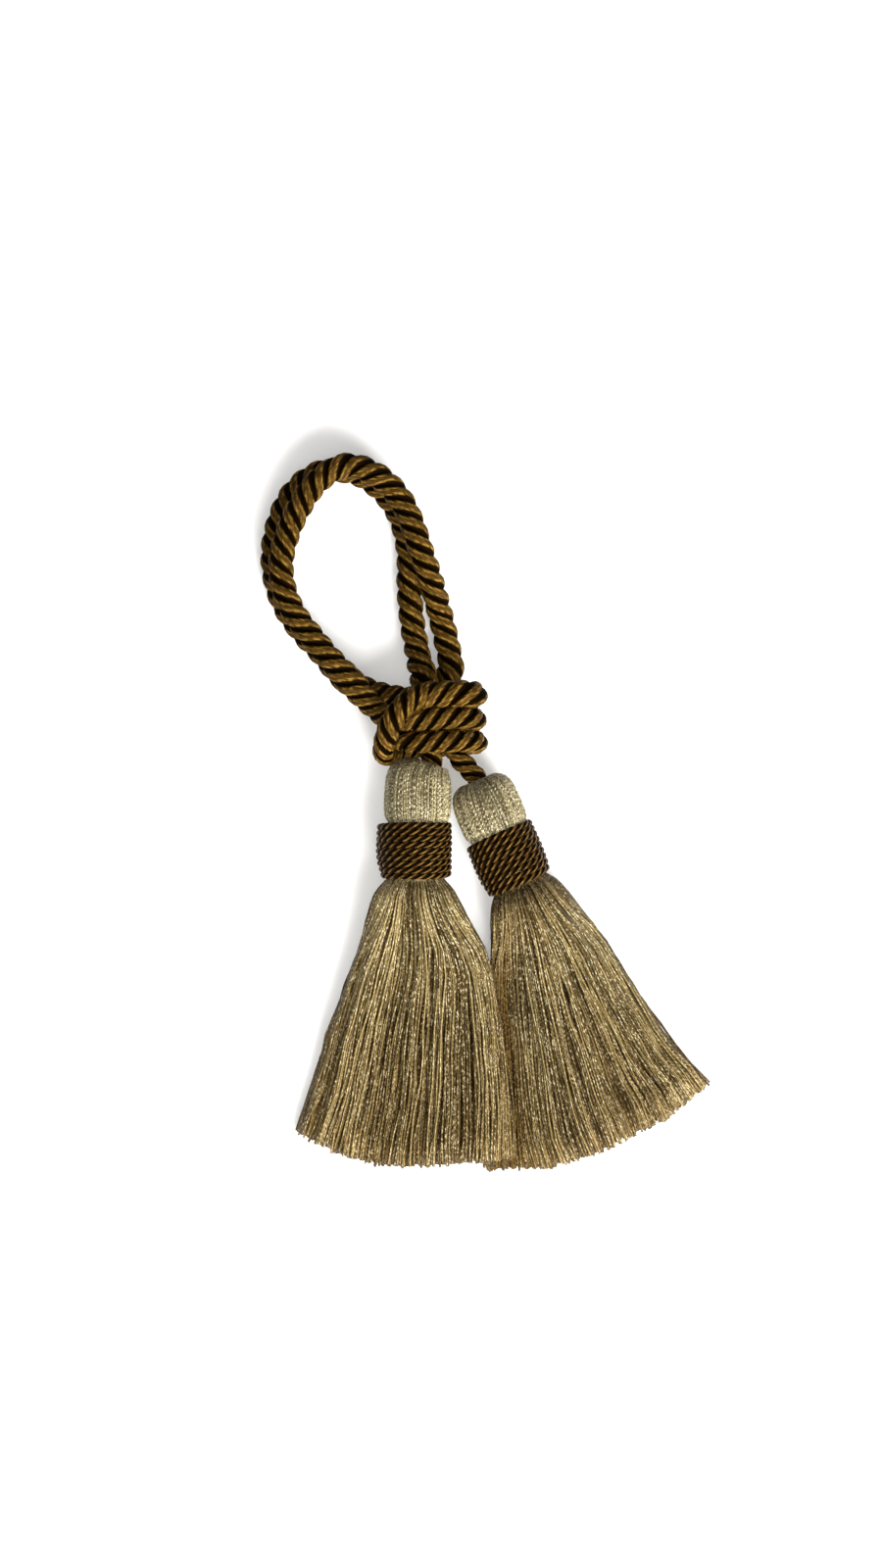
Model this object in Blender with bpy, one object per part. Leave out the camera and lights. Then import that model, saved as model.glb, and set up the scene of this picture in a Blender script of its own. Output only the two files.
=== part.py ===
"""A silk key tassel: two tassels on the ends of one twisted rope, doubled into a loop and knotted.

It lies on a flat surface at z = 0.  +X runs across the pair, +Y from the skirts to the rope's loop.
"""

import math

import bmesh
import bpy
import numpy as np

MM = 0.001
CREASE_ANGLE = math.radians(50)

# Rope: three plies laid to the left, doubled into a loop.
ROPE_RADIUS = 3.05 * MM
KNOT_ROPE_RADIUS = 2.5 * MM
ROPE_LAY = 10.5 * MM
RINGS_PER_TURN = 8
PLIES = 3
PLY_PROFILE = (  # share of the radius, and share of the way round one ply
    (0.68, 0.0),
    (1.0, 0.34),
    (1.0, 0.66),
)
END_CLEARANCE = 0.3 * MM
ROPE_ENTRY = 1.0 * MM
KNOT_TOP = 66.0 * MM
TIGHTENING = 6.0 * MM
CURVE_SAMPLES = 12

# How the rope's passes settle against each other.
PASS_CLEARANCE = 0.15 * MM
FLOOR_CLEARANCE = 0.02 * MM
SAME_PASS_LENGTH = 9.8 * MM
HELD_POINTS = 5
SETTLING_STEPS = 300
PUSH_SHARE = 0.4
SPREAD_SHARE = 0.4
RETURN_SHARE = 0.002

# Tassel: a head of yarn folded over the rope's end, a bound neck and a loose skirt.
AXIS_HEIGHT = 8.05 * MM
SOCKET_DEPTH = 3.0 * MM
SOCKET_RADIUS = 3.1 * MM
NECK_START = 13.4 * MM
NECK_END = 26.2 * MM
HEAD_RIB = 0.1 * MM
HEAD_PROFILE = (  # distance below the top, radius, share of the socket's sideways shift, rib height
    (13.2 * MM, 6.7 * MM, 0.0, 0.0),
    (12.4 * MM, 7.2 * MM, 0.0, HEAD_RIB),
    (9.6 * MM, 7.4 * MM, 0.0, HEAD_RIB),
    (5.0 * MM, 7.35 * MM, 0.0, HEAD_RIB),
    (2.4 * MM, 6.9 * MM, 0.1, HEAD_RIB),
    (0.8 * MM, 5.8 * MM, 0.3, HEAD_RIB),
    (0.0, 4.1 * MM, 0.8, 0.0),
    (0.0, SOCKET_RADIUS, 1.0, 0.0),
    (SOCKET_DEPTH, SOCKET_RADIUS, 1.0, 0.0),
)
NECK_MIDDLE = 18.5 * MM
NECK_PROFILE = (  # distance below the top, radius
    (NECK_START, 6.5 * MM),
    (NECK_MIDDLE, 6.75 * MM),
    (NECK_END, 5.6 * MM),
)

# Binding: a close winding of thin cord round the neck.
BINDING_START = 13.7 * MM
BINDING_END = 25.9 * MM
BINDING_TURNS = 8
BINDING_CORD = 1.15 * MM
BINDING_GROOVE = 0.4 * MM
BINDING_GAP = 0.42 * MM
BINDING_SEGMENTS = 20

# Skirt: locks of yarn in rows and columns, fused only where they leave the neck.
LOCK_ROWS = 5
LOCK_COLUMNS = 22
SHOULDER_REACH = 3.5 * MM
SHOULDER_HALF_HEIGHT = 7.9 * MM
BELL_REACH = 20.0 * MM
BELL_HEIGHT = 12.6 * MM
TIP_HEIGHT = 8.6 * MM
EDGE_SHARE = 0.42
LOCK_FILL = (0.82, 0.76, 0.7)
TIP_UNEVENNESS = 1.6 * MM
SIDE_UNEVENNESS = 0.06
CROSSING_LIFT = 3.4 * MM
CROSSING_START = 0.4
CROSSING_RAMP = 0.4
TUCKED_HEIGHT = 2.6 * MM
TUCK_START = 0.1
TUCK_RAMP = 0.66

# The pair.  Angles turn anticlockwise seen from above; edges are measured from the tassel's axis.
TASSELS = {
    "left": {
        "top": (-19.0 * MM, 46.5 * MM),
        "turn": math.radians(-1.2),
        "neck_girth": 1.03,
        "socket_shift": 2.4 * MM,
        "shoulder": (-9.4 * MM, 9.3 * MM),
        "bell": (-15.1 * MM, 17.6 * MM),
        "tips": (-26.4 * MM, 23.2 * MM),
        "reach": (56.3 * MM, 64.6 * MM, 62.8 * MM),
        "inner_side": 1,
        "crosses_over": True,
        "seed": 11,
    },
    "right": {
        "top": (-5.5 * MM, 43.25 * MM),
        "turn": math.radians(22.5),
        "neck_girth": 0.97,
        "socket_shift": 0.0,
        "shoulder": (-8.4 * MM, 8.7 * MM),
        "bell": (-15.0 * MM, 13.2 * MM),
        "tips": (-31.6 * MM, 21.9 * MM),
        "reach": (56.7 * MM, 63.9 * MM, 56.9 * MM),
        "inner_side": -1,
        "crosses_over": False,
        "seed": 23,
    },
}

# The rope's route between the two heads, in millimetres.
ROUTE = (
    # up through the middle of the knot
    (-16.5, 51.0, 8.0),
    (-17.0, 56.0, 7.8),
    (-17.5, 61.5, 7.8),
    (-17.5, 66.0, 7.2),
    # inner right-hand pass of the loop, on the surface
    (-18.6, 70.0, 5.2),
    (-19.6, 75.0, 3.2),
    (-20.5, 81.0, 2.95),
    (-21.0, 88.0, 2.95),
    (-21.0, 95.0, 2.95),
    (-22.0, 101.0, 2.95),
    (-24.0, 106.0, 2.95),
    (-27.5, 110.5, 2.95),
    (-32.5, 114.0, 2.95),
    (-38.5, 115.0, 2.95),
    (-43.5, 113.5, 2.95),
    (-48.0, 109.5, 2.95),
    (-51.0, 103.5, 2.95),
    (-52.5, 96.5, 2.95),
    (-52.0, 90.0, 2.95),
    (-50.0, 84.0, 2.95),
    (-46.5, 78.5, 2.95),
    (-41.5, 73.0, 2.95),
    (-36.5, 67.5, 2.95),
    # behind the knot and up again
    (-31.5, 64.2, 2.8),
    (-26.5, 62.8, 2.6),
    (-21.0, 62.2, 2.6),
    (-16.4, 62.8, 2.6),
    (-12.9, 65.4, 2.7),
    (-11.6, 69.6, 2.9),
    # outer right-hand pass, climbing on to the inner one
    (-12.5, 75.0, 2.95),
    (-14.0, 81.5, 3.4),
    (-16.0, 88.5, 6.2),
    (-18.5, 96.0, 8.6),
    (-21.0, 103.5, 8.8),
    (-24.0, 109.0, 8.8),
    (-29.0, 113.5, 8.8),
    (-35.5, 115.5, 8.8),
    (-41.5, 112.5, 8.8),
    (-46.0, 106.5, 8.8),
    (-49.0, 100.0, 8.8),
    (-50.5, 93.5, 8.8),
    (-50.0, 87.5, 8.8),
    (-47.5, 81.5, 8.8),
    (-42.5, 75.0, 8.8),
    (-37.5, 69.0, 8.8),
    (-33.0, 64.0, 8.8),
    # middle wrap, across the front and back behind
    (-29.2, 59.8, 8.9),
    (-26.2, 57.6, 9.6),
    (-22.4, 57.0, 11.4),
    (-18.5, 57.2, 12.8),
    (-12.5, 57.8, 13.1),
    (-8.0, 57.8, 11.6),
    (-6.0, 57.4, 7.8),
    (-8.0, 57.2, 3.8),
    (-13.0, 56.8, 2.6),
    (-19.0, 56.4, 2.6),
    # lower wrap
    (-22.8, 55.6, 4.6),
    (-23.6, 53.8, 8.2),
    (-21.0, 52.9, 11.8),
    (-16.5, 52.6, 13.0),
    (-11.5, 52.6, 13.1),
    (-7.5, 52.6, 11.4),
    (-5.5, 52.2, 7.8),
    (-7.5, 51.8, 3.8),
    (-13.0, 51.4, 2.6),
    (-19.5, 50.8, 2.6),
    # round the lower left-hand corner and up over the front
    (-24.6, 49.6, 4.0),
    (-26.4, 49.2, 8.0),
    (-26.4, 51.4, 12.6),
    (-24.8, 56.0, 15.4),
    (-21.6, 60.2, 15.2),
    (-17.5, 62.4, 13.6),
    (-13.0, 62.6, 13.8),
    (-9.4, 62.8, 13.9),
    (-7.0, 62.8, 13.0),
    (-5.9, 62.6, 10.7),
    # down through the middle of the knot
    (-6.8, 62.2, 8.4),
    (-9.2, 61.2, 7.3),
    (-11.2, 58.6, 7.5),
    (-11.4, 55.0, 7.8),
    (-11.2, 51.6, 7.9),
    (-9.8, 48.6, 8.0),
)

COLOURS = {
    "rope": (0.075, 0.042, 0.014, 1.0),
    "silk": (0.36, 0.27, 0.16, 1.0),
    "binding": (0.056, 0.031, 0.010, 1.0),
}


def clear_scene():
    for old in list(bpy.data.objects):
        bpy.data.objects.remove(old)


def make_material(name, roughness):
    material = bpy.data.materials.new(name)
    material.use_nodes = True
    shader = material.node_tree.nodes["Principled BSDF"]
    shader.inputs["Base Color"].default_value = COLOURS[name]
    shader.inputs["Roughness"].default_value = roughness
    shader.inputs["Metallic"].default_value = 0.0
    return material


def make_object(name, points, faces, material, parent=None):
    """A closed mesh object from points in metres, with its faces turned outwards."""
    mesh = bpy.data.meshes.new(name)
    mesh.from_pydata([tuple(p) for p in points], [], faces)
    shape = bmesh.new()
    shape.from_mesh(mesh)
    bmesh.ops.recalc_face_normals(shape, faces=shape.faces)
    shape.to_mesh(mesh)
    shape.free()
    mesh.shade_smooth()
    mesh.set_sharp_from_angle(angle=CREASE_ANGLE)
    mesh.materials.append(material)
    thing = bpy.data.objects.new(name, mesh)
    thing.parent = parent
    bpy.context.scene.collection.objects.link(thing)
    return thing


def ease(value):
    """0 below 0, 1 above 1 and a smooth step between."""
    share = min(max(value, 0.0), 1.0)
    return share * share * (3 - 2 * share)


# ---------------------------------------------------------------- rope

def to_world(tassel, across, along, height):
    """A point given across and along a tassel from its head's top, in the part's frame."""
    turn = tassel["turn"]
    x, y = tassel["top"]
    return (
        x + across * math.cos(turn) + along * math.sin(turn),
        y + across * math.sin(turn) - along * math.cos(turn),
        height,
    )


def rope_end(tassel):
    """Three points on the socket's axis, from its floor outwards."""
    shift = tassel["socket_shift"]
    depths = (SOCKET_DEPTH - END_CLEARANCE, SOCKET_DEPTH / 2, -ROPE_ENTRY)
    return [to_world(tassel, shift, depth, AXIS_HEIGHT) for depth in depths]


def smooth_curve(points, step):
    """Points a step apart on a centripetal Catmull-Rom curve through the given points."""
    points = np.array(points)
    before = 2 * points[0] - points[1]
    after = 2 * points[-1] - points[-2]
    points = np.vstack([before, points, after])
    fine = []
    for i in range(1, len(points) - 2):
        p0, p1, p2, p3 = points[i - 1 : i + 3]
        t1 = np.linalg.norm(p1 - p0) ** 0.5
        t2 = t1 + np.linalg.norm(p2 - p1) ** 0.5
        t3 = t2 + np.linalg.norm(p3 - p2) ** 0.5
        for t in np.linspace(t1, t2, CURVE_SAMPLES, endpoint=False):
            a1 = (t1 - t) / t1 * p0 + t / t1 * p1
            a2 = (t2 - t) / (t2 - t1) * p1 + (t - t1) / (t2 - t1) * p2
            a3 = (t3 - t) / (t3 - t2) * p2 + (t - t2) / (t3 - t2) * p3
            b1 = (t2 - t) / t2 * a1 + t / t2 * a2
            b2 = (t3 - t) / (t3 - t1) * a2 + (t - t1) / (t3 - t1) * a3
            fine.append((t2 - t) / (t2 - t1) * b1 + (t - t1) / (t2 - t1) * b2)
    fine.append(points[-2])
    return even_points(np.array(fine), step)


def even_points(path, step):
    """The same path with its points evenly spaced, about a step apart."""
    lengths = np.linalg.norm(np.diff(path, axis=0), axis=1)
    travelled = np.concatenate([[0.0], np.cumsum(lengths)])
    count = int(round(travelled[-1] / step)) + 1
    wanted = np.linspace(0.0, travelled[-1], count)
    return np.stack([np.interp(wanted, travelled, path[:, k]) for k in range(3)], axis=1)


def rope_radii(path):
    """The rope is drawn tight, and so thinner, inside the knot."""
    slack = np.array([ease((y - KNOT_TOP + TIGHTENING) / TIGHTENING) for y in path[:, 1]])
    return KNOT_ROPE_RADIUS + (ROPE_RADIUS - KNOT_ROPE_RADIUS) * slack


def settle(path, step):
    """Part the passes that lie closer than the rope is thick, and keep the rope on the surface."""
    start = path
    path = start.copy()
    radii = rope_radii(start)
    index = np.arange(len(path))
    apart = np.abs(index[:, None] - index[None, :]) * step > SAME_PASS_LENGTH
    for _ in range(SETTLING_STEPS):
        away = path[:, None, :] - path[None, :, :]
        distance = np.linalg.norm(away, axis=2) + 1e-9
        wanted = radii[:, None] + radii[None, :] + PASS_CLEARANCE
        short = np.where(apart, np.maximum(wanted - distance, 0.0), 0.0)
        worst = short.argmax(axis=1)
        push = short[index, worst][:, None] * away[index, worst] / distance[index, worst][:, None]
        moved = path - start
        spread = np.zeros_like(path)
        spread[1:-1] = (moved[:-2] + moved[2:]) / 2 - moved[1:-1]
        move = PUSH_SHARE * push + SPREAD_SHARE * spread - RETURN_SHARE * moved
        move[:HELD_POINTS] = 0.0
        move[-HELD_POINTS:] = 0.0
        path += move
        path[:, 2] = np.maximum(path[:, 2], radii + FLOOR_CLEARANCE)
    return path


def rope_path():
    step = ROPE_LAY / RINGS_PER_TURN
    first = rope_end(TASSELS["left"])
    last = rope_end(TASSELS["right"])[::-1]
    route = [tuple(value * MM for value in point) for point in ROUTE]
    path = smooth_curve(first + route + last, step)
    path = settle(path, step)
    return even_points(path, step)


def carried_frames(path):
    """Two directions square to the path at each point, carried along it without turning about it."""
    tangents = np.gradient(path, axis=0)
    tangents /= np.linalg.norm(tangents, axis=1)[:, None]
    side = np.cross(tangents[0], (0.0, 0.0, 1.0))
    side /= np.linalg.norm(side)
    frames = []
    for tangent in tangents:
        side = side - tangent * np.dot(side, tangent)
        side /= np.linalg.norm(side)
        frames.append((side, np.cross(tangent, side)))
    return frames


def make_rope(material):
    """The three plies are raised in one closed skin, which turns to the left along the rope."""
    path = rope_path()
    radii = rope_radii(path)
    frames = carried_frames(path)
    points = []
    for i, centre in enumerate(path):
        side, up = frames[i]
        turn = -2 * math.pi * i / RINGS_PER_TURN
        for ply in range(PLIES):
            for share, way in PLY_PROFILE:
                angle = turn + 2 * math.pi * (ply + way) / PLIES
                reach = radii[i] * share
                points.append(centre + reach * (math.cos(angle) * side + math.sin(angle) * up))
    around = PLIES * len(PLY_PROFILE)
    faces = []
    for i in range(len(path) - 1):
        for k in range(around):
            a = i * around + k
            b = i * around + (k + 1) % around
            faces.append((a, b, b + around, a + around))
    last = (len(path) - 1) * around
    faces.append(tuple(range(around)))
    faces.append(tuple(range(last, last + around)))
    return make_object("rope", points, faces, material)


# ---------------------------------------------------------------- tassels

def disc_point(a, b):
    """A point of the square (-1..1, -1..1) carried to the unit disc, with evenly spaced edge points."""
    corner = math.pi / 2 * LOCK_COLUMNS / (LOCK_ROWS + LOCK_COLUMNS)
    x = math.sin(a * corner) * math.sqrt(1 - (b * math.cos(corner)) ** 2) / math.sin(corner)
    return x, b * math.cos(a * corner)


def grid_values(count):
    return [-1 + 2 * i / count for i in range(count + 1)]


def edge_of_grid():
    """The grid's edge points in order round the disc, as column and row numbers."""
    columns, rows = LOCK_COLUMNS, LOCK_ROWS
    edge = [(i, 0) for i in range(columns)]
    edge += [(columns, j) for j in range(rows)]
    edge += [(i, rows) for i in range(columns, 0, -1)]
    edge += [(0, j) for j in range(rows, 0, -1)]
    return edge


def across_at(edges, a):
    return edges[0] + (edges[1] - edges[0]) * (a + 1) / 2


def reach_at(tassel, a):
    """How far the tips reach: a parabola through the values at the two edges and the middle."""
    left, middle, right = tassel["reach"]
    return middle + (right - left) / 2 * a + ((left + right) / 2 - middle) * a * a


def layer_heights(tassel, a, full_height):
    """Lowest and highest point of the skirt at a share of the way across it."""
    inner = a * tassel["inner_side"]
    thickness = full_height * (EDGE_SHARE + (1 - EDGE_SHARE) * math.sqrt(max(0.0, 1 - a * a)))
    if tassel["crosses_over"]:
        low = CROSSING_LIFT * ease((inner - CROSSING_START) / CROSSING_RAMP)
        return low, thickness + low / 2
    tucked = ease((inner - TUCK_START) / TUCK_RAMP)
    return 0.0, thickness + (TUCKED_HEIGHT - thickness) * tucked


def lock_section(tassel, station, a, b):
    """Where the grid's point (a, b) lies at a station of the skirt: across, along and height."""
    if station == 0:
        x, z = disc_point(a, b)
        middle = (tassel["shoulder"][0] + tassel["shoulder"][1]) / 2
        half_width = (tassel["shoulder"][1] - tassel["shoulder"][0]) / 2
        height = AXIS_HEIGHT + SHOULDER_HALF_HEIGHT * z
        return middle + half_width * x, NECK_END + SHOULDER_REACH, height
    if station == 1:
        low, high = layer_heights(tassel, a, BELL_HEIGHT)
        height = low + (high - low) * (b + 1) / 2
        return across_at(tassel["bell"], a), NECK_END + BELL_REACH, height
    low, high = layer_heights(tassel, a, TIP_HEIGHT)
    height = low + (high - low) * (b + 1) / 2
    return across_at(tassel["tips"], a), NECK_END + reach_at(tassel, a), height


def lock_corners(tassel, station, cell, shift):
    """The four corners of a lock at a station: its cell of the grid, drawn in to leave a gap."""
    (a0, a1), (b0, b1) = cell
    fill = LOCK_FILL[station]
    middle_a = (a0 + a1) / 2 + shift * (a1 - a0)
    half_a = (a1 - a0) / 2 * fill
    half_b = (b1 - b0) / 2 * fill
    middle_b = (b0 + b1) / 2
    low_b = middle_b - half_b
    if b0 == -1 and station > 0:
        low_b = b0
    corners = ((-1, low_b), (1, low_b), (1, middle_b + half_b), (-1, middle_b + half_b))
    return [np.array(lock_section(tassel, station, middle_a + way * half_a, b)) for way, b in corners]


def lock_sides(lower, upper):
    """Four sides between two sections, split so that facing sides of two locks run parallel."""
    sides = []
    for corner, following, split in ((0, 1, 0), (1, 2, 1), (2, 3, 3), (3, 0, 0)):
        other = following if split == corner else corner
        sides.append((lower[split], lower[other], upper[other]))
        sides.append((lower[split], upper[other], upper[split]))
    return sides


def add_skirt(tassel, points, faces, root_index):
    """Locks that leave the neck's end face side by side and stand apart from there on."""
    random = np.random.default_rng(tassel["seed"])
    columns = grid_values(LOCK_COLUMNS)
    rows = grid_values(LOCK_ROWS)
    for i in range(LOCK_COLUMNS):
        for j in range(LOCK_ROWS):
            cell = ((columns[i], columns[i + 1]), (rows[j], rows[j + 1]))
            shift = random.uniform(-SIDE_UNEVENNESS, SIDE_UNEVENNESS)
            longer = random.uniform(-TIP_UNEVENNESS, TIP_UNEVENNESS)
            root = [root_index[i, j], root_index[i + 1, j]]
            root += [root_index[i + 1, j + 1], root_index[i, j + 1]]
            previous = root
            bell = lock_corners(tassel, 1, cell, shift)
            tips = lock_corners(tassel, 2, cell, shift)
            span = np.linalg.norm(tips[0] - bell[0])
            tips = [tip + (tip - start) * longer / span for start, tip in zip(bell, tips)]
            for corners in (lock_corners(tassel, 0, cell, 0.0), bell, tips):
                first = len(points)
                points.extend(tuple(corner) for corner in corners)
                current = [first, first + 1, first + 2, first + 3]
                faces.extend(lock_sides(previous, current))
                previous = current
            faces.append(tuple(previous))


def neck_end_point(tassel, a, b):
    """A point of the neck's end face, which every lock leaves from."""
    x, z = disc_point(a, b)
    radius = neck_radius_at(tassel, NECK_END)
    return (radius * x, NECK_END, AXIS_HEIGHT + radius * z)


def add_head(tassel, points, faces):
    """Rings from the neck's end face over the head and down into the rope's socket."""
    columns = grid_values(LOCK_COLUMNS)
    rows = grid_values(LOCK_ROWS)
    directions = [disc_point(columns[i], rows[j]) for i, j in edge_of_grid()]
    count = len(directions)
    rings = [(along, neck_radius_at(tassel, along), 0.0, 0.0) for along in (NECK_MIDDLE, NECK_START)]
    rings.extend(HEAD_PROFILE)
    for along, radius, share, rib in rings:
        shift = share * tassel["socket_shift"]
        first = len(points)
        for k, (x, z) in enumerate(directions):
            reach = radius + rib * (-1) ** k
            points.append((shift + reach * x, along, AXIS_HEIGHT + reach * z))
        for k in range(count):
            n = (k + 1) % count
            faces.append((first - count + k, first - count + n, first + n, first + k))
    faces.append(tuple(range(first, first + count)))


def make_tassel(side, material):
    """The yarn bundle: folded head, neck and the locks of the skirt, in one body."""
    tassel = TASSELS[side]
    points = []
    faces = []
    root_index = {}
    columns = grid_values(LOCK_COLUMNS)
    rows = grid_values(LOCK_ROWS)
    for i, j in edge_of_grid():
        root_index[i, j] = len(points)
        points.append(neck_end_point(tassel, columns[i], rows[j]))
    add_head(tassel, points, faces)
    for i in range(1, LOCK_COLUMNS):
        for j in range(1, LOCK_ROWS):
            root_index[i, j] = len(points)
            points.append(neck_end_point(tassel, columns[i], rows[j]))
    add_skirt(tassel, points, faces, root_index)
    return make_object(f"{side}_tassel", face_down(points), faces, material, make_holder(side))


def face_down(points):
    """Lay a tassel's own points (across, along, height) out with the skirt towards -Y."""
    return [(across, -along, height) for across, along, height in points]


def make_holder(side):
    """The empty that places a tassel and its binding, made once for each side."""
    name = f"{side}_holder"
    holder = bpy.data.objects.get(name)
    if holder is None:
        holder = bpy.data.objects.new(name, None)
        holder.location = (*TASSELS[side]["top"], 0.0)
        holder.rotation_euler = (0.0, 0.0, TASSELS[side]["turn"])
        bpy.context.scene.collection.objects.link(holder)
    return holder


def neck_radius_at(tassel, along):
    alongs = [row[0] for row in NECK_PROFILE]
    radii = [row[1] for row in NECK_PROFILE]
    return tassel["neck_girth"] * float(np.interp(along, alongs, radii))


def make_binding(side, material):
    """A turned ring whose outer face has one ridge for each turn of the cord."""
    tassel = TASSELS[side]
    outline = []
    pitch = (BINDING_END - BINDING_START) / BINDING_TURNS
    for turn in range(BINDING_TURNS):
        for share, groove in ((0.0, BINDING_GROOVE), (0.5, 0.0)):
            along = BINDING_START + (turn + share) * pitch
            outer = neck_radius_at(tassel, along) + BINDING_GAP + BINDING_CORD
            outline.append((along, outer - groove))
    outer = neck_radius_at(tassel, BINDING_END) + BINDING_GAP + BINDING_CORD
    outline.append((BINDING_END, outer - BINDING_GROOVE))
    for along in (BINDING_END, NECK_MIDDLE, BINDING_START):
        outline.append((along, neck_radius_at(tassel, along) + BINDING_GAP))
    points = []
    for step in range(BINDING_SEGMENTS):
        angle = 2 * math.pi * (step + 0.5) / BINDING_SEGMENTS
        for along, radius in outline:
            height = max(0.0, AXIS_HEIGHT + radius * math.sin(angle))
            points.append((radius * math.cos(angle), along, height))
    count = len(outline)
    faces = []
    for step in range(BINDING_SEGMENTS):
        here = step * count
        there = (step + 1) % BINDING_SEGMENTS * count
        for k in range(count):
            n = (k + 1) % count
            faces.append((here + k, here + n, there + n, there + k))
    return make_object(f"{side}_binding", face_down(points), faces, material, make_holder(side))


def main():
    clear_scene()
    rope = make_material("rope", 0.45)
    silk = make_material("silk", 0.35)
    binding = make_material("binding", 0.45)
    make_rope(rope)
    for side in TASSELS:
        make_tassel(side, silk)
        make_binding(side, binding)


main()
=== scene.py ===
"""A silk key tassel laid on a pale table: a twisted rope, two folded heads, bound necks and loose skirts.

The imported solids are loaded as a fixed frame, and every piece of yarn is built round them in mesh code.
"""

import math

import bpy
import numpy as np
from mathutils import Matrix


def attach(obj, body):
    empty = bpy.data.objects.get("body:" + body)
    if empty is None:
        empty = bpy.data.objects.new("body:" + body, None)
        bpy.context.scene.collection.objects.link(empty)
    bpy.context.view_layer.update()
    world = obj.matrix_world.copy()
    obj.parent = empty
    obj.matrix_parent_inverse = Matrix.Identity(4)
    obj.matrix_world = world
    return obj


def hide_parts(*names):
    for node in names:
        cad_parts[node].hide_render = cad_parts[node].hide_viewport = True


bl_info = {
    "name": "Silk Key Tassel",
    "version": (1, 0, 0),
    "blender": (4, 5, 0),
    "location": "3D View > Sidebar > Tassel",
    "description": "Builds a rope, heads, bindings and skirts of yarn round the packed solids",
    "category": "Object",
}

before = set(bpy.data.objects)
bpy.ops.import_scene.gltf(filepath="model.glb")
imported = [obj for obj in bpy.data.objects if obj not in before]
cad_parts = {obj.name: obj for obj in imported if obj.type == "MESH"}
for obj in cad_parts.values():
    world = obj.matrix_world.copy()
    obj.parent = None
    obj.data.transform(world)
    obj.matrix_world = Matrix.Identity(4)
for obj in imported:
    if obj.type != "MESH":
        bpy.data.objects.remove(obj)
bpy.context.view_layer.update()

MM = 0.001
TINY = 1e-9  # keeps a division from meeting zero

# ---------------------------------------------------------------- the rope's route

ROPE_RADIUS = 3.05 * MM
KNOT_ROPE_RADIUS = 2.5 * MM  # drawn tight
ROUTE_STEP = 1.3125 * MM  # between the points of the rope's path
END_CLEARANCE = 0.3 * MM  # between the rope's end and the floor of its socket
ROPE_ENTRY = 1.0 * MM  # how far past a head's crown the rope stays on its socket's axis
KNOT_BOTTOM = 49.0 * MM  # in Y
KNOT_TOP = 66.0 * MM
TIGHTENING = 6.0 * MM  # length over which the rope thins into the knot
CURVE_SAMPLES = 12  # between two points of a curve

# How the rope's passes settle against each other, in small steps.
PASS_CLEARANCE = 0.15 * MM
FLOOR_CLEARANCE = 0.02 * MM
SAME_PASS_LENGTH = 9.8 * MM  # points closer than this along the rope don't push each other
HELD_POINTS = 5  # at each end
SETTLING_STEPS = 300
PUSH_SHARE = 0.4  # of the way apart
SPREAD_SHARE = 0.4  # of the way to the neighbours' mean move
RETURN_SHARE = 0.002  # of the way back to the route

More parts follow.
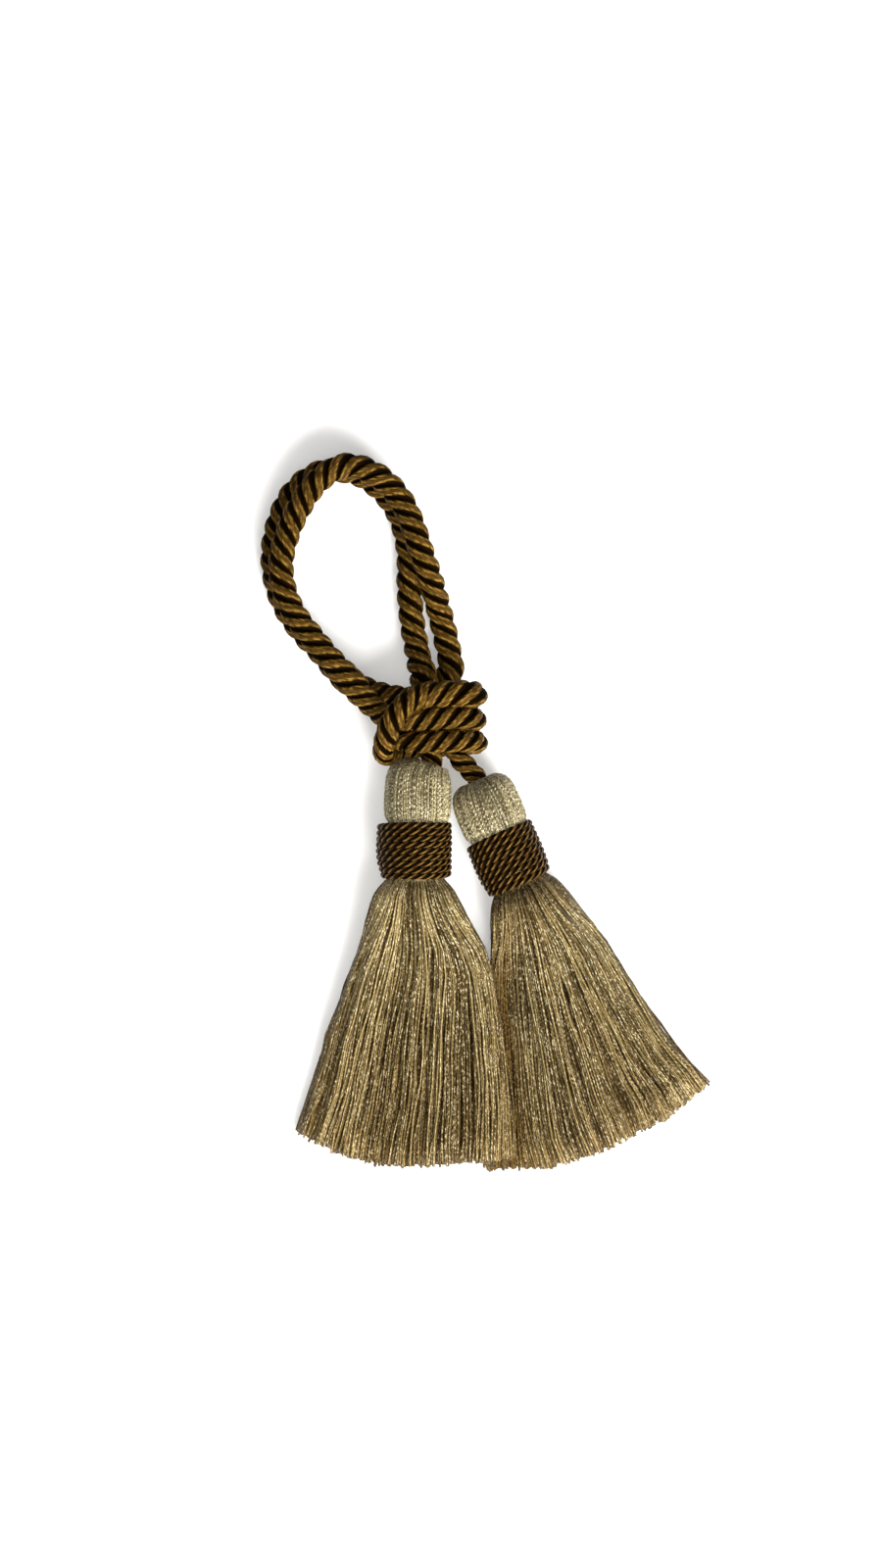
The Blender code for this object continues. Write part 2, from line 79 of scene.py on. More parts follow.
# The route between the two heads, in millimetres.
ROUTE = (
    # up through the middle of the knot
    (-16.5, 51.0, 8.0),
    (-17.0, 56.0, 7.8),
    (-17.5, 61.5, 7.8),
    (-17.5, 66.0, 7.2),
    # inner right-hand pass of the loop, on the surface
    (-18.6, 70.0, 5.2),
    (-19.6, 75.0, 3.2),
    (-20.5, 81.0, 2.95),
    (-21.0, 88.0, 2.95),
    (-21.0, 95.0, 2.95),
    (-22.0, 101.0, 2.95),
    (-24.0, 106.0, 2.95),
    (-27.5, 110.5, 2.95),
    (-32.5, 114.0, 2.95),
    (-38.5, 115.0, 2.95),
    (-43.5, 113.5, 2.95),
    (-48.0, 109.5, 2.95),
    (-51.0, 103.5, 2.95),
    (-52.5, 96.5, 2.95),
    (-52.0, 90.0, 2.95),
    (-50.0, 84.0, 2.95),
    (-46.5, 78.5, 2.95),
    (-41.5, 73.0, 2.95),
    (-36.5, 67.5, 2.95),
    # behind the knot and up again
    (-31.5, 64.2, 2.8),
    (-26.5, 62.8, 2.6),
    (-21.0, 62.2, 2.6),
    (-16.4, 62.8, 2.6),
    (-12.9, 65.4, 2.7),
    (-11.6, 69.6, 2.9),
    # outer right-hand pass, climbing on to the inner one
    (-12.5, 75.0, 2.95),
    (-14.0, 81.5, 3.4),
    (-16.0, 88.5, 6.2),
    (-18.5, 96.0, 8.6),
    (-21.0, 103.5, 8.8),
    (-24.0, 109.0, 8.8),
    (-29.0, 113.5, 8.8),
    (-35.5, 115.5, 8.8),
    (-41.5, 112.5, 8.8),
    (-46.0, 106.5, 8.8),
    (-49.0, 100.0, 8.8),
    (-50.5, 93.5, 8.8),
    (-50.0, 87.5, 8.8),
    (-47.5, 81.5, 8.8),
    (-42.5, 75.0, 8.8),
    (-37.5, 69.0, 8.8),
    (-33.0, 64.0, 8.8),
    # middle wrap, across the front and back behind
    (-29.2, 59.8, 8.9),
    (-26.2, 57.6, 9.6),
    (-22.4, 57.0, 11.4),
    (-18.5, 57.2, 12.8),
    (-12.5, 57.8, 13.1),
    (-8.0, 57.8, 11.6),
    (-6.0, 57.4, 7.8),
    (-8.0, 57.2, 3.8),
    (-13.0, 56.8, 2.6),
    (-19.0, 56.4, 2.6),
    # lower wrap
    (-22.8, 55.6, 4.6),
    (-23.6, 53.8, 8.2),
    (-21.0, 52.9, 11.8),
    (-16.5, 52.6, 13.0),
    (-11.5, 52.6, 13.1),
    (-7.5, 52.6, 11.4),
    (-5.5, 52.2, 7.8),
    (-7.5, 51.8, 3.8),
    (-13.0, 51.4, 2.6),
    (-19.5, 50.8, 2.6),
    # round the lower left-hand corner and up over the front
    (-24.6, 49.6, 4.0),
    (-26.4, 49.2, 8.0),
    (-26.4, 51.4, 12.6),
    (-24.8, 56.0, 15.4),
    (-21.6, 60.2, 15.2),
    (-17.5, 62.4, 13.6),
    (-13.0, 62.6, 13.8),
    (-9.4, 62.8, 13.9),
    (-7.0, 62.8, 13.0),
    (-5.9, 62.6, 10.7),
    # down through the middle of the knot
    (-6.8, 62.2, 8.4),
    (-9.2, 61.2, 7.3),
    (-11.2, 58.6, 7.5),
    (-11.4, 55.0, 7.8),
    (-11.2, 51.6, 7.9),
    (-9.8, 48.6, 8.0),
)

# ---------------------------------------------------------------- the tassels

AXIS_HEIGHT = 8.05 * MM
SOCKET_DEPTH = 3.0 * MM  # of the hole in a head's crown that the rope's end sits in
NECK_MIDDLE = 18.5 * MM
NECK_END = 26.2 * MM
NECK_PROFILE = (  # distance below the top, radius
    (12.2 * MM, 6.45 * MM),
    (NECK_MIDDLE, 6.7 * MM),
    (22.5 * MM, 6.5 * MM),
    (NECK_END, 5.8 * MM),
)
HEAD_PROFILE = (  # distance below the top, radius, share of the socket's sideways shift
    (2.6 * MM, 2.9 * MM, 1.0),
    (0.9 * MM, 2.9 * MM, 1.0),
    (0.1 * MM, 3.7 * MM, 0.9),
    (0.5 * MM, 5.1 * MM, 0.5),
    (1.6 * MM, 6.4 * MM, 0.2),
    (3.4 * MM, 7.15 * MM, 0.05),
    (6.0 * MM, 7.4 * MM, 0.0),
    (9.6 * MM, 7.45 * MM, 0.0),
    (11.4 * MM, 7.25 * MM, 0.0),
    (12.5 * MM, 6.7 * MM, 0.0),
    (14.0 * MM, 6.1 * MM, 0.0),
    (16.0 * MM, 6.0 * MM, 0.0),
)
SHOULDER_HEIGHTS = (  # distance below the neck, half the bundle's height where it is still round
    (-1.5 * MM, 5.3 * MM),
    (0.0, 5.8 * MM),
    (1.6 * MM, 7.2 * MM),
    (3.5 * MM, 7.75 * MM),
    (20.0 * MM, 7.2 * MM),
)
SKIRT_HEIGHTS = (  # distance below the neck, height of the skirt's top along its middle
    (3.5 * MM, 15.6 * MM),
    (20.0 * MM, 13.0 * MM),
    (42.0 * MM, 10.8 * MM),
    (62.0 * MM, 8.6 * MM),
)

# A skirt is round under the neck and flat lower down, where its edges are thinner than its middle.
ROUND_UNTIL = 3.0 * MM
FLAT_FROM = 19.0 * MM
EDGE_SHARE = 0.42

# One skirt's inner edge rises over the other's, which is tucked beneath it and lies in its shade, painted on
# as darker colour.
# Starts and ramps are shares of half the skirt's width, counted from its middle.
CROSSING_LIFT = 3.4 * MM
CROSSING_START = 0.4
CROSSING_RAMP = 0.4
TUCKED_HEIGHT = 2.6 * MM
TUCK_START = 0.1
TUCK_RAMP = 0.66
TUCKED_SHADE = 0.5
TUCKED_SHADE_START = 0.5
TUCKED_SHADE_RAMP = 0.3

# Painted shade: the threads are drawn darker towards the thin, open hem and just below the binding.
HEM_SHADE = 0.26  # how much darker the thin, open hem is
NECK_SHADE_LENGTH = 20.0 * MM  # how far the binding darkens the threads below it

# Turn is the tassel's angle on the table.  Shifts and edges are measured across it from its axis.
# A neck's girth is a share of the profile's radius, and its shade is a painted shade that darkens the
# threads just below it.
# A crown rises at the left by its rise and slopes down to the right by its tilt.  A crease is a depth.
# Edges are rows of distance below the neck, left edge and right edge.
# Hems are how far below the neck the tips reach at HEM_PLACES, which are shares of half the width.
HEM_PLACES = (-1.0, -0.5, 0.0, 0.5, 1.0)
TASSELS = {
    "left": {
        "top": (-19.0 * MM, 46.5 * MM),
        "turn": math.radians(-1.2),
        "neck_girth": 1.03,
        "neck_shift": -0.6 * MM,
        "socket_shift": 3.2 * MM,
        "crease": 0.25 * MM,
        "neck_shade": 0.04,
        "crown_tilt": 0.45,
        "crown_rise": 2.5 * MM,
        "edges": (
            (-1.5 * MM, -5.6 * MM, 5.6 * MM),
            (0.0, -6.9 * MM, 6.9 * MM),
            (1.6 * MM, -8.4 * MM, 8.6 * MM),
            (4.0 * MM, -9.9 * MM, 9.9 * MM),
            (14.6 * MM, -12.4 * MM, 15.8 * MM),
            (19.5 * MM, -14.0 * MM, 17.8 * MM),
            (34.0 * MM, -19.0 * MM, 20.6 * MM),
            (49.0 * MM, -22.8 * MM, 22.5 * MM),
            (62.0 * MM, -27.2 * MM, 23.6 * MM),
        ),
        "hem": (58.4 * MM, 63.6 * MM, 65.6 * MM, 64.8 * MM, 63.2 * MM),
        "inner_side": 1,
        "crosses_over": True,
        "seed": 11,
    },
    "right": {
        "top": (-5.5 * MM, 43.25 * MM),
        "turn": math.radians(22.5),
        "neck_girth": 0.97,
        "neck_shift": -0.1 * MM,
        "socket_shift": 0.0,
        "crease": 1.0 * MM,
        "neck_shade": 0.34,
        "crown_tilt": 0.0,
        "crown_rise": 0.0,
        "edges": (
            (-1.5 * MM, -5.3 * MM, 5.3 * MM),
            (0.0, -6.6 * MM, 7.1 * MM),
            (1.6 * MM, -7.9 * MM, 8.3 * MM),
            (4.0 * MM, -9.2 * MM, 9.3 * MM),
            (12.8 * MM, -12.2 * MM, 11.8 * MM),
            (20.0 * MM, -15.2 * MM, 13.2 * MM),
            (31.0 * MM, -19.8 * MM, 15.1 * MM),
            (49.0 * MM, -28.2 * MM, 19.2 * MM),
            (58.0 * MM, -32.2 * MM, 22.4 * MM),
        ),
        "hem": (57.2 * MM, 62.6 * MM, 63.3 * MM, 62.4 * MM, 58.8 * MM),
        "inner_side": -1,
        "crosses_over": False,
        "seed": 23,
    },
}

BINDING_START = 12.3 * MM
BINDING_END = 26.0 * MM
BINDING_SEAT = 0.28 * MM  # between the neck and the cord
BINDING_BOW = 0.07  # how much longer the winding is on top, as a share of its length


# ---------------------------------------------------------------- settings

def linear(code):
    """An sRGB hex colour as linear red, green and blue with alpha."""
    channels = [int(code[i : i + 2], 16) / 255 for i in (1, 3, 5)]
    return (*[c / 12.92 if c <= 0.04045 else ((c + 0.055) / 1.055) ** 2.4 for c in channels], 1.0)


# A property of each common kind.

def length(name, description, default):
    return bpy.props.FloatProperty(
        name=name, description=description, default=default, min=0.0, unit="LENGTH", precision=5
    )


def colour(name, description, code):
    return bpy.props.FloatVectorProperty(
        name=name, description=description, default=linear(code), size=4, min=0.0, max=1.0, subtype="COLOR"
    )


def number(name, description, default):
    return bpy.props.IntProperty(name=name, description=description, default=default, min=3)


def power(name, description, default):
    return bpy.props.FloatProperty(name=name, description=description, default=default, unit="POWER")


class RopeSettings(bpy.types.PropertyGroup):
    """Sizes and colours of the three-ply rope."""

    lay: length("Lay", "Length of one full turn of a ply round the slack rope", 12.1 * MM)
    yarns: number("Yarns", "Yarns round the outside of one ply", 16)
    yarn_relief: length("Yarn relief", "Height of a yarn's crest above the furrow beside it", 0.16 * MM)
    ply_twist: length("Ply twist", "Length of one full turn of the yarns round their ply", 19.0 * MM)
    ring_spacing: length("Ring spacing", "Distance between mesh rings along the rope", 0.8 * MM)
    shade: colour("Shade", "Colour of the darker yarns", "#241204")
    light: colour("Light", "Colour of the lighter yarns", "#42300E")
    glint: colour("Glint", "Colour where the plies' shoulders catch the light", "#8C6A2E")


class TasselSettings(bpy.types.PropertyGroup):
    """Sizes and colours of the silk yarn in heads and skirts.

    Real thread is finer, and a skirt holds more of it: here it is as coarse as it needs to be to show.
    """

    head_threads: number("Head threads", "Threads side by side round a head", 98)
    skirt_threads: number("Skirt threads", "Threads in one skirt", 1150)
    locks: number("Locks", "Groups that a skirt's threads gather into", 180)
    thread: length("Thread", "Diameter of one thread", 0.54 * MM)
    twist: length("Thread twist", "Length of one turn of a thread's two plies", 2.1 * MM)
    head_shade: colour("Head shade", "Colour of the heads' darker threads", "#3E3115")
    head_light: colour("Head light", "Colour of the heads' lighter threads", "#A4976A")
    shade: colour("Shade", "Colour of the skirts' darker threads", "#45320A")
    light: colour("Light", "Colour of the skirts' lighter threads", "#AD9864")
    glint: colour("Glint", "Colour where the filaments catch the light", "#F0E3BA")


class BindingSettings(bpy.types.PropertyGroup):
    """Sizes and colours of the three-ply cord round the necks."""

    turns: bpy.props.FloatProperty(
        name="Turns", description="Turns of cord round a neck", default=8.9, min=1.0
    )
    cord: length("Cord", "Diameter of the three-ply cord", 1.64 * MM)
    twist: length("Cord twist", "Length of one turn of the three plies", 6.4 * MM)
    ring_spacing: length("Ring spacing", "Distance between mesh rings along the cord", 0.3 * MM)
    shade: colour("Shade", "Colour of the darker fibres", "#2C1B08")
    # The lighter colour is laid on the plies' ridges as a painted highlight.
    light: colour("Light", "Colour of the lighter fibres", "#8C6A32")


class StageSettings(bpy.types.PropertyGroup):
    """Camera, table and lamps."""

    view_height: length("View height", "Height of the picture where the tassel lies", 360.0 * MM)
    lens: bpy.props.FloatProperty(
        name="Lens", description="Focal length for a 36 mm long side", default=85.0, min=1.0, unit="CAMERA"
    )
    table: colour("Table", "Colour of the matt table top", "#F4F3F0")
    key_power: power("Key lamp", "Power of the large lamp at the lower right", 25.0)
    fill_power: power("Fill lamp", "Power of the soft lamp overhead", 2.5)
    raking_power: power("Raking lamp", "Power of the low lamp, which casts no shadow", 14.0)
    room_light: bpy.props.FloatProperty(
        name="Room light", description="Strength of the even light of the room", default=0.32, min=0.0
    )


# ---------------------------------------------------------------- curves

def ease(value):
    """0 below 0, 1 above 1 and a smooth step between."""
    share = np.clip(value, 0.0, 1.0)
    return share * share * (3 - 2 * share)


def read_table(rows, at, k=1):
    """Column k of a table with its places in column 0, read at any place by straight steps."""
    table = np.array(rows)
    return np.interp(at, table[:, 0], table[:, k])


def distances_along(paths):
    """How far each point lies along its path."""
    steps = np.linalg.norm(np.diff(paths, axis=-2), axis=-1)
    start = np.zeros((*steps.shape[:-1], 1))
    return np.concatenate([start, np.cumsum(steps, axis=-1)], axis=-1)


def even_points(path, step):
    """The same path with its points evenly spaced, about a step apart."""
    travelled = distances_along(path)
    count = int(round(travelled[-1] / step)) + 1
    wanted = np.linspace(0.0, travelled[-1], count)
    return np.stack([np.interp(wanted, travelled, path[:, k]) for k in range(path.shape[1])], axis=1)


def smooth_curve(points, step):
    """Points a step apart on a centripetal Catmull-Rom curve through the given points."""
    points = np.array(points)
    before = 2 * points[0] - points[1]
    after = 2 * points[-1] - points[-2]
    points = np.vstack([before, points, after])
    fine = []
    for i in range(1, len(points) - 2):
        p0, p1, p2, p3 = points[i - 1 : i + 3]
        t1 = np.linalg.norm(p1 - p0) ** 0.5
        t2 = t1 + np.linalg.norm(p2 - p1) ** 0.5
        t3 = t2 + np.linalg.norm(p3 - p2) ** 0.5
        for t in np.linspace(t1, t2, CURVE_SAMPLES, endpoint=False):
            a1 = (t1 - t) / t1 * p0 + t / t1 * p1
            a2 = (t2 - t) / (t2 - t1) * p1 + (t - t1) / (t2 - t1) * p2
            a3 = (t3 - t) / (t3 - t2) * p2 + (t - t2) / (t3 - t2) * p3
            b1 = (t2 - t) / t2 * a1 + t / t2 * a2
            b2 = (t3 - t) / (t3 - t1) * a2 + (t - t1) / (t3 - t1) * a3
            fine.append((t2 - t) / (t2 - t1) * b1 + (t - t1) / (t2 - t1) * b2)
    fine.append(points[-2])
    return even_points(np.array(fine), step)


def unit(vectors):
    return vectors / np.maximum(np.linalg.norm(vectors, axis=-1, keepdims=True), TINY)


def tangents_of(paths):
    return unit(np.gradient(paths, axis=-2))


def carried_sides(paths):
    """A direction square to each path, carried along it without turning about it."""
    tangents = tangents_of(paths)
    side = np.cross(tangents[:, 0], (0.0, 0.0, 1.0))
    sides = np.empty_like(paths)
    for k in range(paths.shape[1]):
        tangent = tangents[:, k]
        side = unit(side - tangent * (side * tangent).sum(-1, keepdims=True))
        sides[:, k] = side
    return sides


def wound_plies(path, count, turns, offset, start=0.0):
    """Paths of plies wound round a path at an offset from it, and the way outwards at each point."""
    sides = carried_sides(path[None])[0]
    ups = np.cross(tangents_of(path), sides)
    angles = turns + 2 * np.pi * (np.arange(count)[:, None] + start) / count
    out = np.cos(angles)[..., None] * sides + np.sin(angles)[..., None] * ups
    plies = path + out * offset
    tangents = tangents_of(plies)
    return plies, unit(out - tangents * (out * tangents).sum(-1, keepdims=True))


def to_world(tassel, across, along, height):
    """Points given across and along a tassel from its head's top, in the frame's axes."""
    cosine = math.cos(tassel["turn"])
    sine = math.sin(tassel["turn"])
    x, y = tassel["top"]
    return np.stack(
        np.broadcast_arrays(
            x + across * cosine + along * sine,
            y + across * sine - along * cosine,
            height,
        ),
        axis=-1,
    )


# ---------------------------------------------------------------- meshes

def sweep(paths, radii, corners, turns=0.0, reach=1.0, sides=None, crest=None):
    """Closed tubes round several paths with the same number of rings.

    turns is the angle of each ring's first corner, and reach stretches its corners.  crest is how far a
    corner stands out of the bundle, from 0 to 1, lowered where more painted shade is wanted, and the
    materials paint shade where it is low; left out, it follows the corner's angle to its side.
    """
    count, rings = paths.shape[:2]
    if sides is None:
        sides = carried_sides(paths)
    ups = np.cross(tangents_of(paths), sides)
    angles = np.broadcast_to(turns, (count, rings))[..., None] + 2 * np.pi * np.arange(corners) / corners
    spokes = np.broadcast_to(radii, (count, rings))[..., None] * reach
    across = (spokes * np.cos(angles))[..., None] * sides[:, :, None]
    points = paths[:, :, None] + across + (spokes * np.sin(angles))[..., None] * ups[:, :, None]
    if crest is None:
        crest = 0.5 + 0.5 * np.cos(angles)
    crest = np.broadcast_to(crest, points.shape[:3])
    furrows = np.zeros(points.shape[:3], dtype=bool)
    if np.ndim(reach):
        furrows[:] = reach < np.roll(reach, 1, axis=-1)
    return {"points": points, "along": distances_along(paths), "crest": crest, "furrows": furrows}


SEAM_SHARE = 0.998  # keeps the end of a thread's turn below the next thread's whole number
BAKE_MARGIN = 0.1  # left free at each side of a thread's strip in the baking map


def joined(parts):
    """One set of points, their crest values and furrows, faces and corner maps from swept parts.

    The yarn map holds millimetres along a thread, and the thread's number plus the place round it.
    """
    points, crest, furrows, corners, starts, yarn, bake = [], [], [], [], [], [], []
    offset = 0
    loops = 0
    thread = 0
    total = sum(part["points"].shape[0] for part in parts)
    longest = max(part["along"].max() for part in parts)
    for part in parts:
        count, rings, sides = part["points"].shape[:3]
        index = offset + np.arange(count * rings * sides).reshape(count, rings, sides)
        following = np.roll(index, -1, axis=2)
        quads = np.stack([index[:, :-1], following[:, :-1], following[:, 1:], index[:, 1:]], axis=-1)
        caps = np.stack([index[:, 0, ::-1], index[:, -1]], axis=1)
        share = np.arange(sides + 1) / sides
        around = np.stack([share[:-1], share[1:], share[1:], share[:-1]], axis=-1)
        around = np.broadcast_to(around, quads.shape)
        along = part["along"]
        travelled = np.stack([along[:, :-1], along[:, :-1], along[:, 1:], along[:, 1:]], axis=-1)
        travelled = np.broadcast_to(travelled[:, :, None], quads.shape)
        threads = thread + np.arange(count)
        names = np.broadcast_to(threads[:, None, None, None], quads.shape)
        cap_names = np.broadcast_to(threads[:, None, None], caps.shape)
        cap_along = np.broadcast_to(along[:, [0, -1], None], caps.shape)
        for face, name, turn, way in (
            (quads, names, around, travelled),
            (caps, cap_names, np.full(caps.shape, 0.5), cap_along),
        ):
            flat = [values.reshape(-1) for values in (name, turn, way)]
            corners.append(face.reshape(-1))
            size = face.shape[-1]
            starts.append(loops + size * np.arange(face.size // size))
            loops += face.size
            yarn.append(np.stack([flat[2] / MM, flat[0] + SEAM_SHARE * flat[1]], axis=1))
            strip = (flat[0] + BAKE_MARGIN + (1 - 2 * BAKE_MARGIN) * flat[1]) / total
            bake.append(np.stack([strip, flat[2] / longest], axis=1))
        points.append(part["points"].reshape(-1, 3))
        crest.append(part["crest"].reshape(-1))
        furrows.append(part["furrows"].reshape(-1))
        offset += count * rings * sides
        thread += count
    return [np.concatenate(array) for array in (points, crest, furrows, corners, starts, yarn, bake)]


def make_piece(name, parts, material, nodes):
    """A mesh object from swept parts, which stands for the given nodes of the frame.

    Its crest values go to the material, and the furrows between yarns stay sharp.
    """
    points, crest, furrows, corners, starts, yarn, bake = joined(parts)
    mesh = bpy.data.meshes.new(name)
    mesh.vertices.add(len(points))
    mesh.vertices.foreach_set("co", points.astype(np.float32).ravel())
    mesh.loops.add(len(corners))
    mesh.loops.foreach_set("vertex_index", corners.astype(np.int32))
    mesh.polygons.add(len(starts))
    mesh.polygons.foreach_set("loop_start", starts.astype(np.int32))
    mesh.update(calc_edges=True)
    mesh.shade_smooth()
    for map_name, values in (("yarn", yarn), ("OFBake", bake)):
        layer = mesh.uv_layers.new(name=map_name, do_init=False)
        layer.uv.foreach_set("vector", values.astype(np.float32).ravel())
    mesh.attributes.new("crest", "FLOAT", "POINT").data.foreach_set("value", crest.astype(np.float32))
    edges = np.empty(2 * len(mesh.edges), dtype=np.int32)
    mesh.edges.foreach_get("vertices", edges)
    sharp = furrows[edges.reshape(-1, 2)].all(axis=1)
    mesh.attributes.new("sharp_edge", "BOOLEAN", "EDGE").data.foreach_set("value", sharp)
    mesh.materials.append(material)
    piece = bpy.data.objects.new(name, mesh)
    bpy.context.scene.collection.objects.link(piece)
    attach(piece, "root")
    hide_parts(*nodes)
    return piece


# ---------------------------------------------------------------- rope

def rope_end(tassel):
    """Three points on the socket's axis, from its floor outwards."""
    depths = (SOCKET_DEPTH - END_CLEARANCE, SOCKET_DEPTH / 2, -ROPE_ENTRY)
    return [to_world(tassel, tassel["socket_shift"], depth, AXIS_HEIGHT) for depth in depths]


def rope_radii(path):
    """The rope is drawn tight, and so thinner, inside the knot and below it."""
    slack = ease((path[:, 1] - KNOT_TOP + TIGHTENING) / TIGHTENING)
    return KNOT_ROPE_RADIUS + (ROPE_RADIUS - KNOT_ROPE_RADIUS) * slack


def settle(route, step):
    """Part the passes that lie closer than the rope is thick, and keep the rope on the surface."""
    path = route.copy()
    radii = rope_radii(route)
    index = np.arange(len(path))
    apart = np.abs(index[:, None] - index[None, :]) * step > SAME_PASS_LENGTH
    for _ in range(SETTLING_STEPS):
        away = path[:, None, :] - path[None, :, :]
        distance = np.linalg.norm(away, axis=2) + TINY
        wanted = radii[:, None] + radii[None, :] + PASS_CLEARANCE
        short = np.where(apart, np.maximum(wanted - distance, 0.0), 0.0)
        worst = short.argmax(axis=1)
        push = short[index, worst][:, None] * away[index, worst] / distance[index, worst][:, None]
        moved = path - route
        spread = np.zeros_like(path)
        spread[1:-1] = (moved[:-2] + moved[2:]) / 2 - moved[1:-1]
        move = PUSH_SHARE * push + SPREAD_SHARE * spread - RETURN_SHARE * moved
        move[:HELD_POINTS] = 0.0
        move[-HELD_POINTS:] = 0.0
        path += move
        path[:, 2] = np.maximum(path[:, 2], radii + FLOOR_CLEARANCE)
    return path


def rope_path():
    first = rope_end(TASSELS["left"])
    last = rope_end(TASSELS["right"])[::-1]
    route = [np.array(point) * MM for point in ROUTE]
    path = smooth_curve(first + route + last, ROUTE_STEP)
    path = settle(path, ROUTE_STEP)
    return even_points(path, ROUTE_STEP)


PLIES = 3
PLY_START = 0.5  # where the first ply starts round the rope, as a share of a ply's part of it
PLY_SHARE = 0.466  # a ply's radius as a share of the rope's
KNOT_FULLNESS = 1.14  # how far the plies swell inside the knot


def rope_plies(settings):
    """Three fluted plies wound to the left round the rope's route."""
    path = smooth_curve(rope_path(), settings.ring_spacing)
    radii = rope_radii(path)
    turns = -2 * np.pi * np.cumsum(settings.ring_spacing / radii) * ROPE_RADIUS / settings.lay
    in_knot = ease((path[:, 1] - KNOT_BOTTOM) / TIGHTENING)
    in_knot = in_knot * (1 - ease((path[:, 1] - KNOT_TOP) / TIGHTENING))
    radii = radii * (1 + (KNOT_FULLNESS - 1) * in_knot)
    plies, out = wound_plies(path, PLIES, turns, (radii * (1 - PLY_SHARE))[:, None], PLY_START)
    flute = settings.yarn_relief / (ROPE_RADIUS * PLY_SHARE)
    plies_part = sweep(
        plies,
        radii * PLY_SHARE,
        2 * settings.yarns,
        turns=2 * np.pi * distances_along(plies) / settings.ply_twist,
        reach=np.where(np.arange(2 * settings.yarns) % 2, 1.0, 1.0 - flute),
        sides=out,
    )
    # What would dip into the table is pressed flat on it.
    height = plies_part["points"][..., 2]
    plies_part["points"][..., 2] = np.maximum(height, FLOOR_CLEARANCE)
    return path, plies_part


# ---------------------------------------------------------------- heads and skirts

def neck_radius_at(tassel, along):
    return tassel["neck_girth"] * read_table(NECK_PROFILE, along)


TWIST_RINGS = 5  # mesh rings in half a turn of a thread's twist
THREAD_OVAL = (1.12, 0.9, 1.12, 0.9)  # two plies side by side, as shares of the thread's radius
THREAD_TWISTS = (0.8, 1.15)  # loosest and tightest, as shares of the usual twist
HEAD_SPREAD = 0.2  # how far a thread may start from its even place, as a share of their spacing
HEAD_SWAY = 0.22  # how far each wave carries a thread to a side, as the same share
HEAD_WAVES = (5.0 * MM, 11.0 * MM)
HEAD_LIFTS = (-0.15, 0.05)  # how deep and how high a thread lies in its layer, in millimetres
CROWN_DEPTH = 8.0 * MM
CROWN_ROUNDING = 4.0 * MM
CREASE_WIDTH = 0.32  # in radians round the head
DEEP_CREASE = 1.0 * MM
# Painted shade: a deep crease and the crown under the rope are drawn darker, where shade falls on them.
CREASE_SHADE = 0.6  # how much darker a deep crease is
CROWN_SHADE = 0.5  # how much darker the crown is under the rope
CORE_DEPTH = 0.35 * MM
CORE_CORNERS = 64
CORE_STEP = 0.5 * MM


def head_profile(rows, step):
    """Distances below the top, radii and shares of the socket's shift, evenly spaced down the head."""
    scale = (1.0, 1.0, MM)  # so small that the shares hardly lengthen the curve's steps
    profile = smooth_curve(np.array(rows) * scale, step) / scale
    return profile[:, 0], profile[:, 1], profile[:, 2]


def crown_drop(tassel, along, across):
    """How far the head's crown sinks where the rope goes in, and rises beside it."""
    slope = (across + np.hypot(across, CROWN_ROUNDING)) / 2
    drop = tassel["crown_tilt"] * slope - tassel["crown_rise"]
    return drop * (1 - ease(along / CROWN_DEPTH))


def crease_depth(tassel, along, angles):
    """A valley down the head's upper face, below the place where the rope goes in."""
    from_face = np.angle(np.exp(1j * (angles - np.pi / 2)))
    valley = np.exp(-((from_face / CREASE_WIDTH) ** 2))
    return tassel["crease"] * valley * (1 - ease(along / CROWN_DEPTH))


def head_threads(tassel, settings, random):
    """Twisted threads side by side over the head, from the rope's socket to under the binding."""
    count = settings.head_threads
    along, radius, share = head_profile(HEAD_PROFILE, settings.twist / 2 / TWIST_RINGS)
    places = 2 * np.pi * (np.arange(count) + random.uniform(-HEAD_SPREAD, HEAD_SPREAD, count)) / count
    starts = random.uniform(0, 2 * np.pi, (2, count, 1))
    sway = sum(np.sin(along / wave + start) for wave, start in zip(HEAD_WAVES, starts))
    angles = places[:, None] + sway * HEAD_SWAY * 2 * np.pi / count
    lift = random.uniform(*HEAD_LIFTS, (count, 1)) * MM
    crease = crease_depth(tassel, along, angles)
    reach = radius + lift - crease
    across = share * tassel["socket_shift"] + reach * np.cos(angles)
    dropped = along + crown_drop(tassel, along, across)
    paths = to_world(tassel, across, dropped, AXIS_HEIGHT + reach * np.sin(angles))
    twists = random.uniform(*THREAD_TWISTS, (count, 1)) * np.pi * np.arange(len(along)) / TWIST_RINGS
    turns = twists + random.uniform(0, np.pi, (count, 1))
    oval = np.array(THREAD_OVAL)
    # Painted shade: the crease, the crown under the rope and each thread's narrow flanks are drawn darker.
    unshaded_share = 1 - CREASE_SHADE * (crease / DEEP_CREASE)
    unshaded_share = unshaded_share * (1 - CROWN_SHADE * (1 - ease(along / CROWN_DEPTH)))
    crest = unshaded_share[..., None] * (oval - oval.min())
    return sweep(paths, settings.thread / 2, len(oval), turns=turns, reach=oval, crest=crest)


